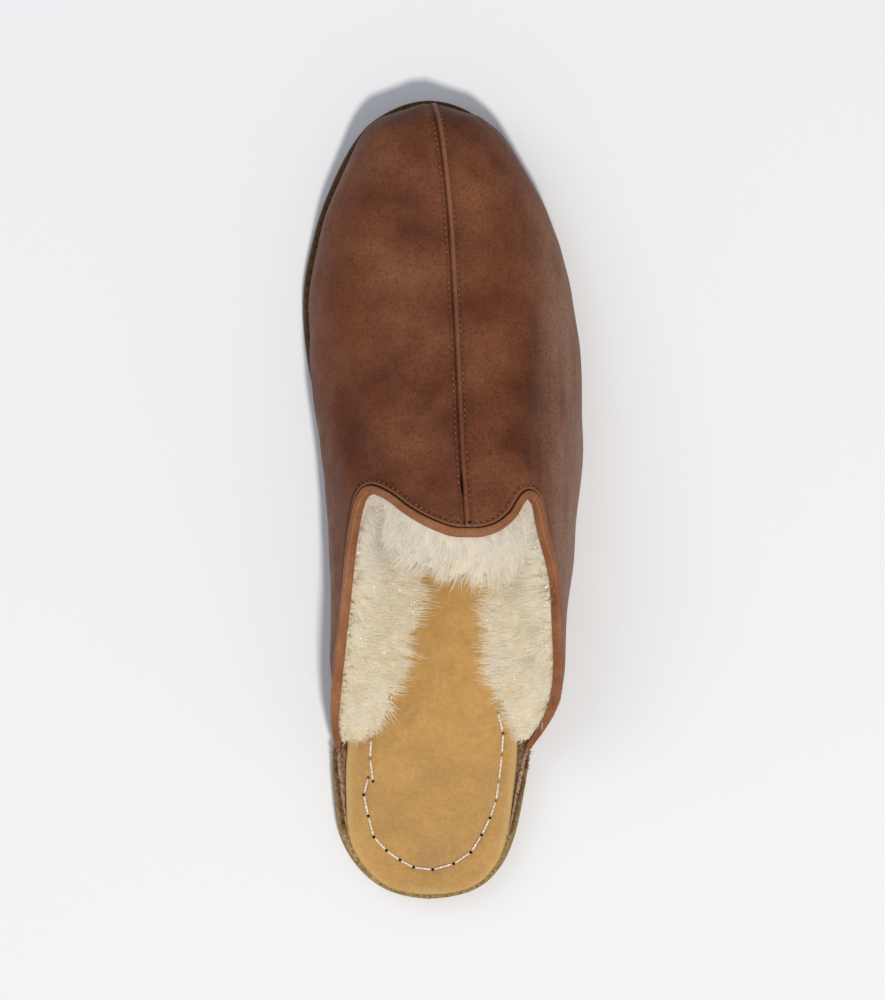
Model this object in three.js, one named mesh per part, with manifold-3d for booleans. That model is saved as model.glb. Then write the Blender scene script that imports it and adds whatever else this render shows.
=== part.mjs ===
// Backless leather slipper for the right foot, lined with shearling, in millimetres.
// +X is the outer side of the foot, +Y the toe and +Z up.
// The origin is on the floor, in the middle of the slipper's length and width.
import * as THREE from "three";
import { mergeVertices } from "three/addons/utils/BufferGeometryUtils.js";
import Module from "manifold-3d";

const wasm = await Module();
wasm.setup();

// Overall sizes
const length = 300;
const ballWidth = 105;
const instepHeight = 68;

// Sole
const soleThickness = 5.5;
const heelLift = 4;
const archRise = 3.5;
const toeSpring = 9;
const soleBevel = 1;

// Places along the sole, as shares of its length from the heel
const heelBreast = 0.2;
const archStart = 0.22;
const ballStart = 0.5;
const toeBreak = 0.76;

// Insole
const insoleThickness = 2.5;
const insoleLedge = 5.6;
const insoleBevel = 0.6;

// Upper
const upperWall = 2.4;
const collarWall = 1.5;
const tailWall = 0.6;
const skiveLength = 8;
const bulgeHeight = 16;
const fullBulge = 10;
const lastingWidth = 9;
const lastingThickness = 1.6;
const lastingStart = 0.18;
const seamHalfWidth = 0.95;
const seamSlope = 0.75;
const seamRise = 0.8;

// Binding of the collar
const bindingThickness = 0.9;
const bindingWidth = 3.2;
const bindingLowest = 2.5;

// Shearling
const toePile = 13;
const lockLength = 20;
const lockRadius = 4.4;
const toePilePower = 4;
const collarPile = 0.16;
const roofPower = 0.3;
const roofTurns = [40, 69];
const browTurns = [64, 81];
const browReach = 17;
const browShare = 0.22;
const browDroop = 0.7;
const liningLowest = 5;
const liningSetback = 2.4;

// Gaps between pieces: those that lie on each other, the insole in the upper, and the wool
// behind the leather
const clearance = 0.3;
const insoleGap = 1.4;
const woolGap = 1;
const bindingGap = 0.45;

// Plan of the sole, from heel to toe. at is a share of the length. inner and outer are the
// edges on the two sides of the foot, as shares of the ball width from the centre line.
// ledgeIn and ledgeOut are how far the insole stands in from those edges, as shares of the
// insole ledge. bulgeIn and bulgeOut are how far the upper stands out past the sole's edge,
// as shares of the full bulge, and a minus sign stands in from it.
const planRows = [
  { at: 0, inner: -0.048, outer: -0.048, ledgeIn: 0.32, ledgeOut: 0.32, bulgeIn: -0.5, bulgeOut: -0.5 },
  { at: 0.011, inner: -0.201, outer: 0.115, ledgeIn: 0.42, ledgeOut: 0.4, bulgeIn: -0.5, bulgeOut: -0.5 },
  { at: 0.04, inner: -0.306, outer: 0.209, ledgeIn: 0.72, ledgeOut: 0.62, bulgeIn: -0.5, bulgeOut: -0.5 },
  { at: 0.078, inner: -0.367, outer: 0.259, ledgeIn: 0.94, ledgeOut: 0.78, bulgeIn: -0.45, bulgeOut: -0.35 },
  { at: 0.135, inner: -0.391, outer: 0.294, ledgeIn: 1, ledgeOut: 0.84, bulgeIn: -0.3, bulgeOut: -0.22 },
  { at: 0.173, inner: -0.395, outer: 0.31, ledgeIn: 1, ledgeOut: 0.88, bulgeIn: -0.2, bulgeOut: -0.1 },
  { at: 0.21, inner: -0.388, outer: 0.32, ledgeIn: 1, ledgeOut: 0.94, bulgeIn: 0.05, bulgeOut: 0.38 },
  { at: 0.267, inner: -0.376, outer: 0.338, ledgeIn: 1.2, ledgeOut: 1.2, bulgeIn: 0.24, bulgeOut: 0.94 },
  { at: 0.367, inner: -0.366, outer: 0.366, ledgeIn: 1.2, ledgeOut: 1.2, bulgeIn: 0.34, bulgeOut: 0.9 },
  { at: 0.467, inner: -0.373, outer: 0.405, ledgeIn: 1.2, ledgeOut: 1.2, bulgeIn: 0.38, bulgeOut: 0.82 },
  { at: 0.567, inner: -0.411, outer: 0.441, ledgeIn: 1.2, ledgeOut: 1.2, bulgeIn: 0.28, bulgeOut: 0.7 },
  { at: 0.667, inner: -0.482, outer: 0.461, ledgeIn: 1.2, ledgeOut: 1.2, bulgeIn: -0.06, bulgeOut: 0.45 },
  { at: 0.757, inner: -0.5, outer: 0.444, ledgeIn: 1.2, ledgeOut: 1.2, bulgeIn: -0.2, bulgeOut: 0.33 },
  { at: 0.833, inner: -0.461, outer: 0.389, ledgeIn: 1.2, ledgeOut: 1.2, bulgeIn: -0.22, bulgeOut: 0.19 },
  { at: 0.89, inner: -0.405, outer: 0.32, ledgeIn: 1.2, ledgeOut: 1.2, bulgeIn: -0.22, bulgeOut: 0.15 },
  { at: 0.965, inner: -0.284, outer: 0.181, ledgeIn: 1.2, ledgeOut: 1.2, bulgeIn: -0.19, bulgeOut: 0.05 },
  { at: 0.99, inner: -0.187, outer: 0.09, ledgeIn: 1.2, ledgeOut: 1.2, bulgeIn: -0.16, bulgeOut: -0.08 },
  { at: 1, inner: -0.048, outer: -0.048, ledgeIn: 1.2, ledgeOut: 1.2, bulgeIn: -0.15, bulgeOut: -0.15 },
];

// Sections of the upper. crest is the height of the middle seam above the sole, as a share of
// the instep height. seam is the seam's place across, as a share of the ball width. square is
// the power of the section's arch, from 2, an ellipse, upwards. openIn and openOut are the
// half widths left free between the wool, and openUp its height, as shares of the arch.
const crestRows = [
  { at: 0, crest: 1.09, seam: 0.06, square: 2.5, openIn: 0.9, openOut: 0.9, openUp: 0.8 },
  { at: 0.173, crest: 1.09, seam: 0.082, square: 2.5, openIn: 0.88, openOut: 0.88, openUp: 0.8 },
  { at: 0.2, crest: 1.09, seam: 0.082, square: 2.45, openIn: 0.78, openOut: 0.76, openUp: 0.8 },
  { at: 0.223, crest: 1.09, seam: 0.082, square: 2.4, openIn: 0.62, openOut: 0.53, openUp: 0.8 },
  { at: 0.26, crest: 1.085, seam: 0.082, square: 2.4, openIn: 0.55, openOut: 0.36, openUp: 0.78 },
  { at: 0.313, crest: 1.08, seam: 0.082, square: 2.4, openIn: 0.46, openOut: 0.28, openUp: 0.76 },
  { at: 0.4, crest: 1.055, seam: 0.083, square: 2.4, openIn: 0.4, openOut: 0.27, openUp: 0.74 },
  { at: 0.467, crest: 1, seam: 0.078, square: 2.4, openIn: 0.5, openOut: 0.4, openUp: 0.72 },
  { at: 0.567, crest: 0.905, seam: 0.059, square: 2.35, openIn: 0.65, openOut: 0.56, openUp: 0.72 },
  { at: 0.667, crest: 0.802, seam: 0.046, square: 2.3, openIn: 0.72, openOut: 0.66, openUp: 0.7 },
  { at: 0.767, crest: 0.706, seam: 0.032, square: 2.25, openIn: 0.74, openOut: 0.7, openUp: 0.68 },
  { at: 0.85, crest: 0.625, seam: 0.018, square: 2.2, openIn: 0.74, openOut: 0.72, openUp: 0.66 },
  { at: 0.905, crest: 0.566, seam: 0.003, square: 2.15, openIn: 0.74, openOut: 0.74, openUp: 0.66 },
  { at: 0.942, crest: 0.493, seam: -0.01, square: 2.1, openIn: 0.74, openOut: 0.74, openUp: 0.66 },
  { at: 0.97, crest: 0.404, seam: -0.023, square: 2.05, openIn: 0.74, openOut: 0.74, openUp: 0.66 },
  { at: 0.985, crest: 0.316, seam: -0.033, square: 2, openIn: 0.74, openOut: 0.74, openUp: 0.66 },
  { at: 0.995, crest: 0.198, seam: -0.041, square: 2, openIn: 0.74, openOut: 0.74, openUp: 0.66 },
  { at: 1, crest: 0, seam: -0.048, square: 2, openIn: 0.74, openOut: 0.74, openUp: 0.66 },
];

// Collar of the inner side, from the tail beside the heel to the throat. at is the place of
// the cut edge along the sole, turn its angle up the arch in degrees, from 0 at the sole to 90
// at the seam, and foot the place where the line down from it meets the sole. hold is the
// power with which that line keeps its angle before it comes down.
const innerCollarRows = [
  { at: 0.073, turn: 1.1, foot: 0.073, hold: 1 },
  { at: 0.117, turn: 1.1, foot: 0.117, hold: 1 },
  { at: 0.153, turn: 1.1, foot: 0.153, hold: 1 },
  { at: 0.18, turn: 1.5, foot: 0.18, hold: 1 },
  { at: 0.206, turn: 5.4, foot: 0.21, hold: 1 },
  { at: 0.246, turn: 13.2, foot: 0.257, hold: 1 },
  { at: 0.272, turn: 17.6, foot: 0.29, hold: 1 },
  { at: 0.312, turn: 22.4, foot: 0.34, hold: 1 },
  { at: 0.378, turn: 29.3, foot: 0.417, hold: 1 },
  { at: 0.444, turn: 36.2, foot: 0.49, hold: 1 },
  { at: 0.489, turn: 43, foot: 0.545, hold: 1 },
  { at: 0.507, turn: 47.5, foot: 0.585, hold: 1 },
  { at: 0.5127, turn: 52.8, foot: 0.63, hold: 1.05 },
  { at: 0.509, turn: 58, foot: 0.68, hold: 1.2 },
  { at: 0.501, turn: 63.3, foot: 0.73, hold: 1.4 },
  { at: 0.488, turn: 69.3, foot: 0.79, hold: 1.8 },
  { at: 0.475, turn: 76.7, foot: 0.86, hold: 2.5 },
  { at: 0.464, turn: 84.6, foot: 0.935, hold: 4.2 },
  { at: 0.4615, turn: 87.6, foot: 0.985, hold: 7.5 },
  { at: 0.461, turn: 90, foot: 1, hold: 10 },
];

// Collar of the outer side, in the same columns.
const outerCollarRows = [
  { at: 0.073, turn: 1.1, foot: 0.073, hold: 1 },
  { at: 0.117, turn: 1.1, foot: 0.117, hold: 1 },
  { at: 0.153, turn: 1.1, foot: 0.153, hold: 1 },
  { at: 0.182, turn: 1.5, foot: 0.18, hold: 1 },
  { at: 0.212, turn: 6.6, foot: 0.21, hold: 1 },
  { at: 0.24, turn: 12.4, foot: 0.245, hold: 1 },
  { at: 0.262, turn: 17.4, foot: 0.275, hold: 1 },
  { at: 0.288, turn: 21.4, foot: 0.31, hold: 1 },
  { at: 0.357, turn: 28.9, foot: 0.39, hold: 1 },
  { at: 0.405, turn: 36.6, foot: 0.45, hold: 1 },
  { at: 0.458, turn: 49.3, foot: 0.51, hold: 1 },
  { at: 0.495, turn: 54.8, foot: 0.57, hold: 1 },
  { at: 0.5065, turn: 58.4, foot: 0.62, hold: 1.05 },
  { at: 0.5072, turn: 61.6, foot: 0.67, hold: 1.2 },
  { at: 0.5, turn: 64.6, foot: 0.72, hold: 1.4 },
  { at: 0.483, turn: 69.1, foot: 0.78, hold: 1.8 },
  { at: 0.469, turn: 76, foot: 0.85, hold: 2.5 },
  { at: 0.4625, turn: 82.7, foot: 0.925, hold: 4.2 },
  { at: 0.461, turn: 86.8, foot: 0.985, hold: 7.5 },
  { at: 0.461, turn: 90, foot: 1, hold: 10 },
];

// Tiers of wool locks, from the collar down. down is a share of the way from the collar to the
// insole, count the locks in the tier, and first and last the stretch of the collar that they
// fill, as shares of the way round it. reach and drop are shares of the lock length: how far a
// lock stands out and how far it hangs.
const lockTiers = [
  { down: 0.11, count: 11, first: 0.12, last: 0.88, reach: 0.45, drop: 0.4 },
  { down: 0.44, count: 6, first: 0.08, last: 0.32, reach: 0.5, drop: 0.3 },
  { down: 0.44, count: 6, first: 0.68, last: 0.92, reach: 0.5, drop: 0.3 },
  { down: 0.78, count: 4, first: 0.08, last: 0.26, reach: 0.45, drop: 0.12 },
  { down: 0.78, count: 4, first: 0.74, last: 0.92, reach: 0.45, drop: 0.12 },
];

// Rings of one lock: along is a share of its reach, and girth a share of its thickness.
const lockRings = [
  { along: 0, girth: 1 },
  { along: 0.5, girth: 1.05 },
  { along: 0.85, girth: 0.85 },
  { along: 1, girth: 0.45 },
];

// Mesh fineness. Levels crowd towards the sole by a power, an end loop of the sole stands in by
// a share of a step, and no loop comes nearer than a share of a step to another one.
const soleSteps = 44;
const insoleSteps = 34;
const ribsPerRow = 2;
const wallLevels = 13;
const liningLevels = 8;
const lockSides = 5;
const levelPower = 1.3;
const endStep = 0.25;
const nearestStep = 0.4;
const halvings = 24;
const levelStep = 0.02;
const stationStep = 0.0005;
const mergeDistance = 1e-4;
const tipStation = 0.93;
const leastSlant = 0.2;

// A station is an angle along the foot, as a share of half a turn, so that the rows close in
// a round at both ends.
function stationOf(at) {
  return Math.acos(1 - 2 * at) / Math.PI;
}

function shareOf(station) {
  return (1 - Math.cos(Math.PI * station)) / 2;
}

function placeAlong(at) {
  return (at - 0.5) * length;
}

function smooth(t) {
  const clamped = THREE.MathUtils.clamp(t, 0, 1);
  return clamped * clamped * (3 - 2 * clamped);
}

const mix = THREE.MathUtils.lerp;

// Smooth curve through one column of a table, read at a place between its keys.
function curveThrough(keys, values) {
  const last = keys.length - 1;
  const slopes = keys.map((key, i) => {
    const before = Math.max(i - 1, 0);
    const after = Math.min(i + 1, last);
    return (values[after] - values[before]) / (keys[after] - keys[before]);
  });
  return (at) => {
    let i = 0;
    while (i < last - 1 && at > keys[i + 1]) {
      i += 1;
    }
    const run = keys[i + 1] - keys[i];
    const t = THREE.MathUtils.clamp((at - keys[i]) / run, 0, 1);
    const t2 = t * t;
    const t3 = t2 * t;
    return (
      (2 * t3 - 3 * t2 + 1) * values[i] +
      (t3 - 2 * t2 + t) * run * slopes[i] +
      (3 * t2 - 2 * t3) * values[i + 1] +
      (t3 - t2) * run * slopes[i + 1]
    );
  };
}

function columnOf(rows, name) {
  return curveThrough(rows.map((row) => stationOf(row.at)), rows.map((row) => row[name]));
}

const soleSides = {
  inner: { edge: columnOf(planRows, "inner"), ledge: columnOf(planRows, "ledgeIn"),
    bulge: columnOf(planRows, "bulgeIn"), open: columnOf(crestRows, "openIn"), out: -1 },
  outer: { edge: columnOf(planRows, "outer"), ledge: columnOf(planRows, "ledgeOut"),
    bulge: columnOf(planRows, "bulgeOut"), open: columnOf(crestRows, "openOut"), out: 1 },
};
const crestShare = columnOf(crestRows, "crest");
const seamShare = columnOf(crestRows, "seam");
const squareAt = columnOf(crestRows, "square");
const openUp = columnOf(crestRows, "openUp");

// Heights of the sole, from places along it as shares of the length
function springAt(at) {
  const past = Math.max(0, at - toeBreak) / (1 - toeBreak);
  return toeSpring * past * past;
}

function seatAt(at) {
  const lift = heelLift * (1 - smooth((at - heelBreast) / (ballStart - heelBreast)));
  return soleThickness + lift + springAt(at);
}

function undersideAt(at) {
  if (at <= heelBreast) {
    return 0;
  }
  const breast = Math.min(1, (at - heelBreast) / (archStart - heelBreast));
  const arch = 1 - smooth((at - archStart) / (ballStart - archStart));
  return archRise * breast * arch + springAt(at);
}

function seatUnder(y) {
  return seatAt(THREE.MathUtils.clamp(y / length + 0.5, 0, 1));
}

// Edge of the sole in plan, moved outwards by a distance.
function planEdge(side, station, outwards) {
  const step = 0.002;
  const point = (s) => new THREE.Vector2(side.edge(s) * ballWidth, placeAlong(shareOf(s)));
  const before = point(Math.max(0, station - step));
  const after = point(Math.min(1, station + step));
  const along = after.sub(before).normalize();
  const normal = new THREE.Vector2(along.y, -along.x).multiplyScalar(side.out);
  return point(station).addScaledVector(normal, outwards);
}

function insoleEdge(side, station) {
  return planEdge(side, station, -insoleLedge * side.ledge(station));
}

// Share of its full size that the upper has in the tail that runs back beside the heel seat.
function tailShare(station) {
  const start = innerCollarRows[0].at;
  return smooth((shareOf(station) - start) / (heelBreast - start));
}

function wallAt(station) {
  return mix(tailWall, upperWall, tailShare(station));
}

// Share of the full thickness that the turned-in margin has, from none behind the tail.
function lastingShare(at) {
  return smooth(at / lastingStart);
}

function featherEdge(side, station) {
  const gap = mix(clearance, insoleGap, tailShare(station));
  return planEdge(side, station, gap + wallAt(station) - insoleLedge * side.ledge(station));
}

function upperEdge(side, station) {
  return planEdge(side, station, fullBulge * side.bulge(station));
}

function insoleUndersideAt(at) {
  return seatAt(at) + clearance + (lastingThickness + clearance) * lastingShare(at);
}

function insoleTopUnder(y) {
  return insoleUndersideAt(THREE.MathUtils.clamp(y / length + 0.5, 0, 1)) + insoleThickness;
}

// Outer face of the upper, at a station and an angle up its arch.
function upperFace(side, station, turn) {
  const outline = upperEdge(side, station);
  const other = upperEdge(side === soleSides.inner ? soleSides.outer : soleSides.inner, station);
  const power = 2 / squareAt(station);
  const across = Math.max(0, Math.cos(turn)) ** power;
  const rise = crestShare(station) * instepHeight * Math.max(0, Math.sin(turn)) ** power;
  const tuck = Math.max(0, 1 - rise / bulgeHeight) ** 2;
  const inwards = featherEdge(side, station).sub(outline).multiplyScalar(tuck);
  const x = mix(seamShare(station) * ballWidth, outline.x, across) + inwards.x;
  const y = mix((outline.y + other.y) / 2, outline.y, across) + inwards.y;
  return new THREE.Vector3(x, y, seatUnder(y) + clearance + rise);
}

// Face that the wool leaves free for the foot, inside the upper's own arch.
function openFace(side, station, turn) {
  const outline = upperEdge(side, station);
  const power = 2 / squareAt(station);
  const seam = seamShare(station) * ballWidth;
  const across = Math.max(0, Math.cos(turn)) ** power * side.open(station);
  const up = Math.max(0, Math.sin(turn)) ** power * openUp(station);
  const y = outline.y - toePile * shareOf(station) ** toePilePower;
  const base = insoleTopUnder(y) + clearance;
  return new THREE.Vector3(mix(seam, outline.x, across), y, base + up * crestShare(station) * instepHeight);
}

function levelShare(i) {
  return 1 - (1 - i / wallLevels) ** levelPower;
}

// One line down the upper's face, from the collar to the sole.
function ribOf(side, from, to, turn, hold) {
  const points = [];
  for (let i = 0; i <= wallLevels; i += 1) {
    const t = levelShare(i);
    const station = mix(from, to, t);
    const held = turn * (1 - t ** hold);
    points.push({ side, station, turn: held, point: upperFace(side, station, held) });
  }
  return points;
}

// A line that keeps one distance from the middle seam, on to where it meets the toe.
function seamRib(side, from, offset) {
  const halfWidth = (s) => Math.abs(upperEdge(side, s).x - seamShare(s) * ballWidth);
  let to = 1;
  while (halfWidth(to) < offset) {
    to -= stationStep;
  }
  const points = [];
  for (let i = 0; i <= wallLevels; i += 1) {
    const t = levelShare(i);
    const station = mix(from, to, t);
    const ratio = Math.min(1, offset / halfWidth(station));
    const turn = i === wallLevels ? 0 : Math.acos(ratio ** (squareAt(station) / 2));
    points.push({ side, station, turn, point: upperFace(side, station, turn) });
  }
  return points;
}

function collarRibs(side, rows) {
  const keys = rows.map((row, i) => i);
  const from = curveThrough(keys, rows.map((row) => stationOf(row.at)));
  const to = curveThrough(keys, rows.map((row) => stationOf(row.foot)));
  const turn = curveThrough(keys, rows.map((row) => THREE.MathUtils.degToRad(row.turn)));
  const hold = curveThrough(keys, rows.map((row) => row.hold));
  const ribs = [];
  for (let i = 0; i < (rows.length - 1) * ribsPerRow; i += 1) {
    const at = i / ribsPerRow;
    ribs.push(ribOf(side, from(at), to(at), turn(at), hold(at)));
  }
  return ribs;
}

function allRibs() {
  const throat = stationOf(innerCollarRows[innerCollarRows.length - 1].at);
  const offsets = [seamHalfWidth + seamSlope, seamHalfWidth];
  const seamInner = offsets.map((offset) => seamRib(soleSides.inner, throat, offset));
  const seamOuter = offsets.map((offset) => seamRib(soleSides.outer, throat, offset)).reverse();
  const inner = collarRibs(soleSides.inner, innerCollarRows);
  const outer = collarRibs(soleSides.outer, outerCollarRows).reverse();
  return [...inner, ...seamInner, ...seamOuter, ...outer];
}

// Outward direction of the face, from small steps along it and up it.
function faceNormal(side, station, turn) {
  const step = 0.003;
  const tilt = 0.02;
  const ahead = upperFace(side, station + step, turn);
  const along = ahead.sub(upperFace(side, station - step, turn));
  const above = upperFace(side, station, Math.min(Math.PI / 2, turn + tilt));
  const up = above.sub(upperFace(side, station, Math.max(0, turn - tilt)));
  return along.cross(up).multiplyScalar(side.out).normalize();
}

// Outward direction at every point of the ribs. At the tip of the toe, where the sections
// close, it comes from the neighbouring ribs.
function addNormals(ribs) {
  ribs.forEach((rib, i) => {
    const before = ribs[Math.max(0, i - 1)];
    const after = ribs[Math.min(ribs.length - 1, i + 1)];
    rib.forEach((spot, j) => {
      if (spot.station < tipStation) {
        spot.normal = faceNormal(spot.side, spot.station, spot.turn);
        return;
      }
      const across = after[j].point.clone().sub(before[j].point);
      const above = rib[Math.max(0, j - 1)].point;
      const below = rib[Math.min(rib.length - 1, j + 1)].point;
      spot.normal = across.cross(below.clone().sub(above)).normalize();
    });
    const edge = after[0].point.clone().sub(before[0].point);
    rib.past = edge.cross(rib[0].normal).normalize();
  });
}

// Spot of the face that lies a short way from another one, in a direction along the face.
function spotBeside(spot, move) {
  const step = 0.001;
  const { side, station, turn } = spot;
  const ahead = upperFace(side, station + step, turn).sub(upperFace(side, station, turn));
  const lower = Math.min(turn + step, Math.PI / 2) - step;
  const up = upperFace(side, station, lower + step).sub(upperFace(side, station, lower));
  const aa = ahead.dot(ahead);
  const ab = ahead.dot(up);
  const bb = up.dot(up);
  const am = ahead.dot(move);
  const bm = up.dot(move);
  const scale = step / (aa * bb - ab * ab);
  const newStation = station + (am * bb - bm * ab) * scale;
  const newTurn = THREE.MathUtils.clamp(turn + (bm * aa - am * ab) * scale, 0, Math.PI / 2);
  return {
    side,
    station: newStation,
    turn: newTurn,
    point: upperFace(side, newStation, newTurn),
    normal: faceNormal(side, newStation, newTurn),
  };
}

function spotAt(rib, level) {
  const i = Math.min(Math.floor(level), rib.length - 2);
  const t = level - i;
  return {
    side: rib[i].side,
    station: mix(rib[i].station, rib[i + 1].station, t),
    turn: mix(rib[i].turn, rib[i + 1].turn, t),
    point: rib[i].point.clone().lerp(rib[i + 1].point, t),
    normal: rib[i].normal.clone().lerp(rib[i + 1].normal, t).normalize(),
  };
}

// Thickness of the wall at a level of a rib: skived thin at the collar.
function thicknessAt(rib, spot) {
  const down = Math.max(0, rib[0].point.clone().sub(spot.point).dot(rib.past));
  const full = wallAt(spot.station);
  return mix(Math.min(collarWall, full), full, smooth(down / skiveLength));
}

function insetPoint(rib, level, extra) {
  const spot = spotAt(rib, level);
  return spot.point.clone().addScaledVector(spot.normal, -thicknessAt(rib, spot) - extra);
}

// Level at which a line inside the wall comes down to a height over the seat.
function levelAtHeight(rib, extra, height) {
  let low = 0;
  let high = rib.length - 1;
  for (let i = 0; i < halvings; i += 1) {
    const middle = (low + high) / 2;
    const point = insetPoint(rib, middle, extra);
    if (point.z > height(point.y)) {
      low = middle;
    } else {
      high = middle;
    }
  }
  return low;
}

// Level at a distance down the wall from the collar.
function levelAtDepth(rib, depth) {
  let level = 0;
  while (level < rib.length - 1 && spotAt(rib, level).point.distanceTo(rib[0].point) < depth) {
    level += levelStep;
  }
  return level;
}

// Closed mesh through loops of the same count, with a cap at each end.
function loft(loops) {
  const count = loops[0].length;
  const positions = loops.flatMap((loop) => loop.flatMap((point) => point.toArray()));
  const faces = [];
  for (let i = 0; i < loops.length - 1; i += 1) {
    for (let j = 0; j < count; j += 1) {
      const next = (j + 1) % count;
      const a = i * count + j;
      const b = i * count + next;
      const split = loops[i][j].distanceTo(loops[i + 1][next]);
      if (split <= loops[i][next].distanceTo(loops[i + 1][j])) {
        faces.push(a, b, b + count, a, b + count, a + count);
      } else {
        faces.push(a, b, a + count, b, b + count, a + count);
      }
    }
  }
  capOf(count, 0).forEach((face) => faces.push(...face.reverse()));
  capOf(count, (loops.length - 1) * count).forEach((face) => faces.push(...face));
  const geometry = new THREE.BufferGeometry();
  geometry.setAttribute("position", new THREE.Float32BufferAttribute(positions, 3));
  geometry.setIndex(faces);
  return facedOut(geometry);
}

// Triangles over one loop, in a zigzag between its first half and its second.
function capOf(count, first) {
  const faces = [];
  for (let low = 0; low < (count - 2) / 2; low += 1) {
    const high = count - 1 - low;
    faces.push([low, low + 1, high]);
    if (high - low > 2) {
      faces.push([low + 1, high - 1, high]);
    }
  }
  return faces.map((face) => face.map((index) => index + first));
}

function facedOut(geometry) {
  const position = geometry.getAttribute("position");
  const index = geometry.getIndex().array;
  const corner = (i) => new THREE.Vector3().fromBufferAttribute(position, index[i]);
  let volume = 0;
  for (let i = 0; i < index.length; i += 3) {
    volume += corner(i).dot(corner(i + 1).cross(corner(i + 2)));
  }
  if (volume < 0) {
    for (let i = 0; i < index.length; i += 3) {
      [index[i + 1], index[i + 2]] = [index[i + 2], index[i + 1]];
    }
  }
  return geometry;
}

function solidOf(geometry) {
  const bare = new THREE.BufferGeometry();
  bare.setAttribute("position", geometry.getAttribute("position"));
  bare.setIndex(geometry.getIndex());
  const merged = mergeVertices(bare, mergeDistance);
  return new wasm.Manifold(new wasm.Mesh({
    numProp: 3,
    vertProperties: new Float32Array(merged.getAttribute("position").array),
    triVerts: new Uint32Array(merged.getIndex().array),
  }));
}

function geometryOf(solid) {
  const mesh = solid.getMesh();
  const geometry = new THREE.BufferGeometry();
  geometry.setAttribute("position", new THREE.Float32BufferAttribute(mesh.vertProperties, 3));
  geometry.setIndex(Array.from(mesh.triVerts));
  return geometry;
}

// Stations evenly round the foot, with those where the sole's heights turn.
function stationsOf(steps) {
  const turns = [heelBreast, archStart, ballStart, toeBreak].map(stationOf);
  const first = endStep / steps;
  const stations = [...turns];
  for (let i = 0; i <= steps; i += 1) {
    const station = mix(first, 1 - first, i / steps);
    if (turns.every((turn) => Math.abs(turn - station) > nearestStep / steps)) {
      stations.push(station);
    }
  }
  return stations.sort((a, b) => a - b);
}

// One loop of a flat layer: bevelled edges on both sides between two heights.
function layerLoop(edgeOf, station, low, high, bevel) {
  const inner = edgeOf(soleSides.inner, station);
  const outer = edgeOf(soleSides.outer, station);
  const narrow = Math.min(bevel, (outer.x - inner.x) / 4);
  const row = (x, edge, height) => new THREE.Vector3(x, edge.y, height(edge.y / length + 0.5));
  const raised = (at) => low(at) + bevel;
  const lowered = (at) => high(at) - bevel;
  return [
    row(inner.x + narrow, inner, low),
    row(outer.x - narrow, outer, low),
    row(outer.x, outer, raised),
    row(outer.x, outer, lowered),
    row(outer.x - narrow, outer, high),
    row(inner.x + narrow, inner, high),
    row(inner.x, inner, lowered),
    row(inner.x, inner, raised),
  ];
}

function outsoleGeometry() {
  const edgeOf = (side, station) => planEdge(side, station, 0);
  const loops = stationsOf(soleSteps).map((station) =>
    layerLoop(edgeOf, station, undersideAt, seatAt, soleBevel));
  return loft(loops);
}

function insoleGeometry() {
  const top = (at) => insoleUndersideAt(at) + insoleThickness;
  const loops = stationsOf(insoleSteps).map((station) =>
    layerLoop(insoleEdge, station, insoleUndersideAt, top, insoleBevel));
  return loft(loops);
}

// One closed section of the upper: down its face, in under the insole, and up its inside.
function upperLoop(rib, raised) {
  const face = rib.map((spot) => spot.point.clone().addScaledVector(spot.normal, raised));
  const foot = rib[rib.length - 1];
  const at = foot.point.y / length + 0.5;
  const inwards = new THREE.Vector3(-foot.normal.x, -foot.normal.y, 0).normalize();
  const share = lastingShare(at);
  const reach = wallAt(foot.station) + lastingWidth * share;
  const marginTop = (y) => seatUnder(y) + clearance + lastingThickness * share;
  const underneath = foot.point.clone().addScaledVector(inwards, reach);
  underneath.z = seatUnder(underneath.y) + clearance;
  const above = underneath.clone().setZ(marginTop(underneath.y));
  const end = levelAtHeight(rib, 0, marginTop);
  const inside = [];
  for (let i = wallLevels; i >= 0; i -= 1) {
    inside.push(insetPoint(rib, (end * i) / wallLevels, 0));
  }
  return [...face, underneath, above, ...inside];
}

// The two ribs in the middle carry the raised seam.
function seamRiseOf(rib, ribs) {
  const place = ribs.indexOf(rib);
  const middle = ribs.length / 2;
  return place === middle - 1 || place === middle ? seamRise : 0;
}

function upperGeometry(ribs) {
  return loft(ribs.map((rib) => upperLoop(rib, seamRiseOf(rib, ribs))));
}

// Room over the insole at the collar of a rib.
function collarRoom(rib) {
  const edge = insetPoint(rib, 0, 0);
  return edge.z - insoleTopUnder(edge.y) - clearance;
}

// Binding folded over the collar, as one closed section on each rib.
function bindingLoop(rib, raised) {
  const depth = Math.min(bindingWidth, collarRoom(rib) - clearance);
  const top = rib[0];
  const past = rib.past;
  const foot = spotBeside(top, past.clone().multiplyScalar(-depth));
  const near = bindingGap;
  const far = bindingGap + bindingThickness;
  const wallHere = thicknessAt(rib, top);
  const wallFoot = thicknessAt(rib, foot);
  const place = (spot, out, beyond) =>
    spot.point.clone().addScaledVector(spot.normal, out).addScaledVector(past, beyond);
  return [
    place(foot, far + raised, 0),
    place(top, far + raised, 0),
    place(top, raised, far),
    place(top, -wallHere, far),
    place(top, -wallHere - far, 0),
    place(foot, -wallFoot - far, 0),
    place(foot, -wallFoot - near, 0),
    place(top, -wallHere - near, near),
    place(top, near + raised, near),
    place(foot, near + raised, 0),
  ];
}

function bindingGeometry(ribs) {
  const bound = ribs.filter((rib) => collarRoom(rib) > bindingLowest);
  return loft(bound.map((rib) => bindingLoop(rib, seamRiseOf(rib, ribs))));
}

function shareBetween(turn, [low, high]) {
  return smooth((THREE.MathUtils.radToDeg(turn) - low) / (high - low));
}

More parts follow.
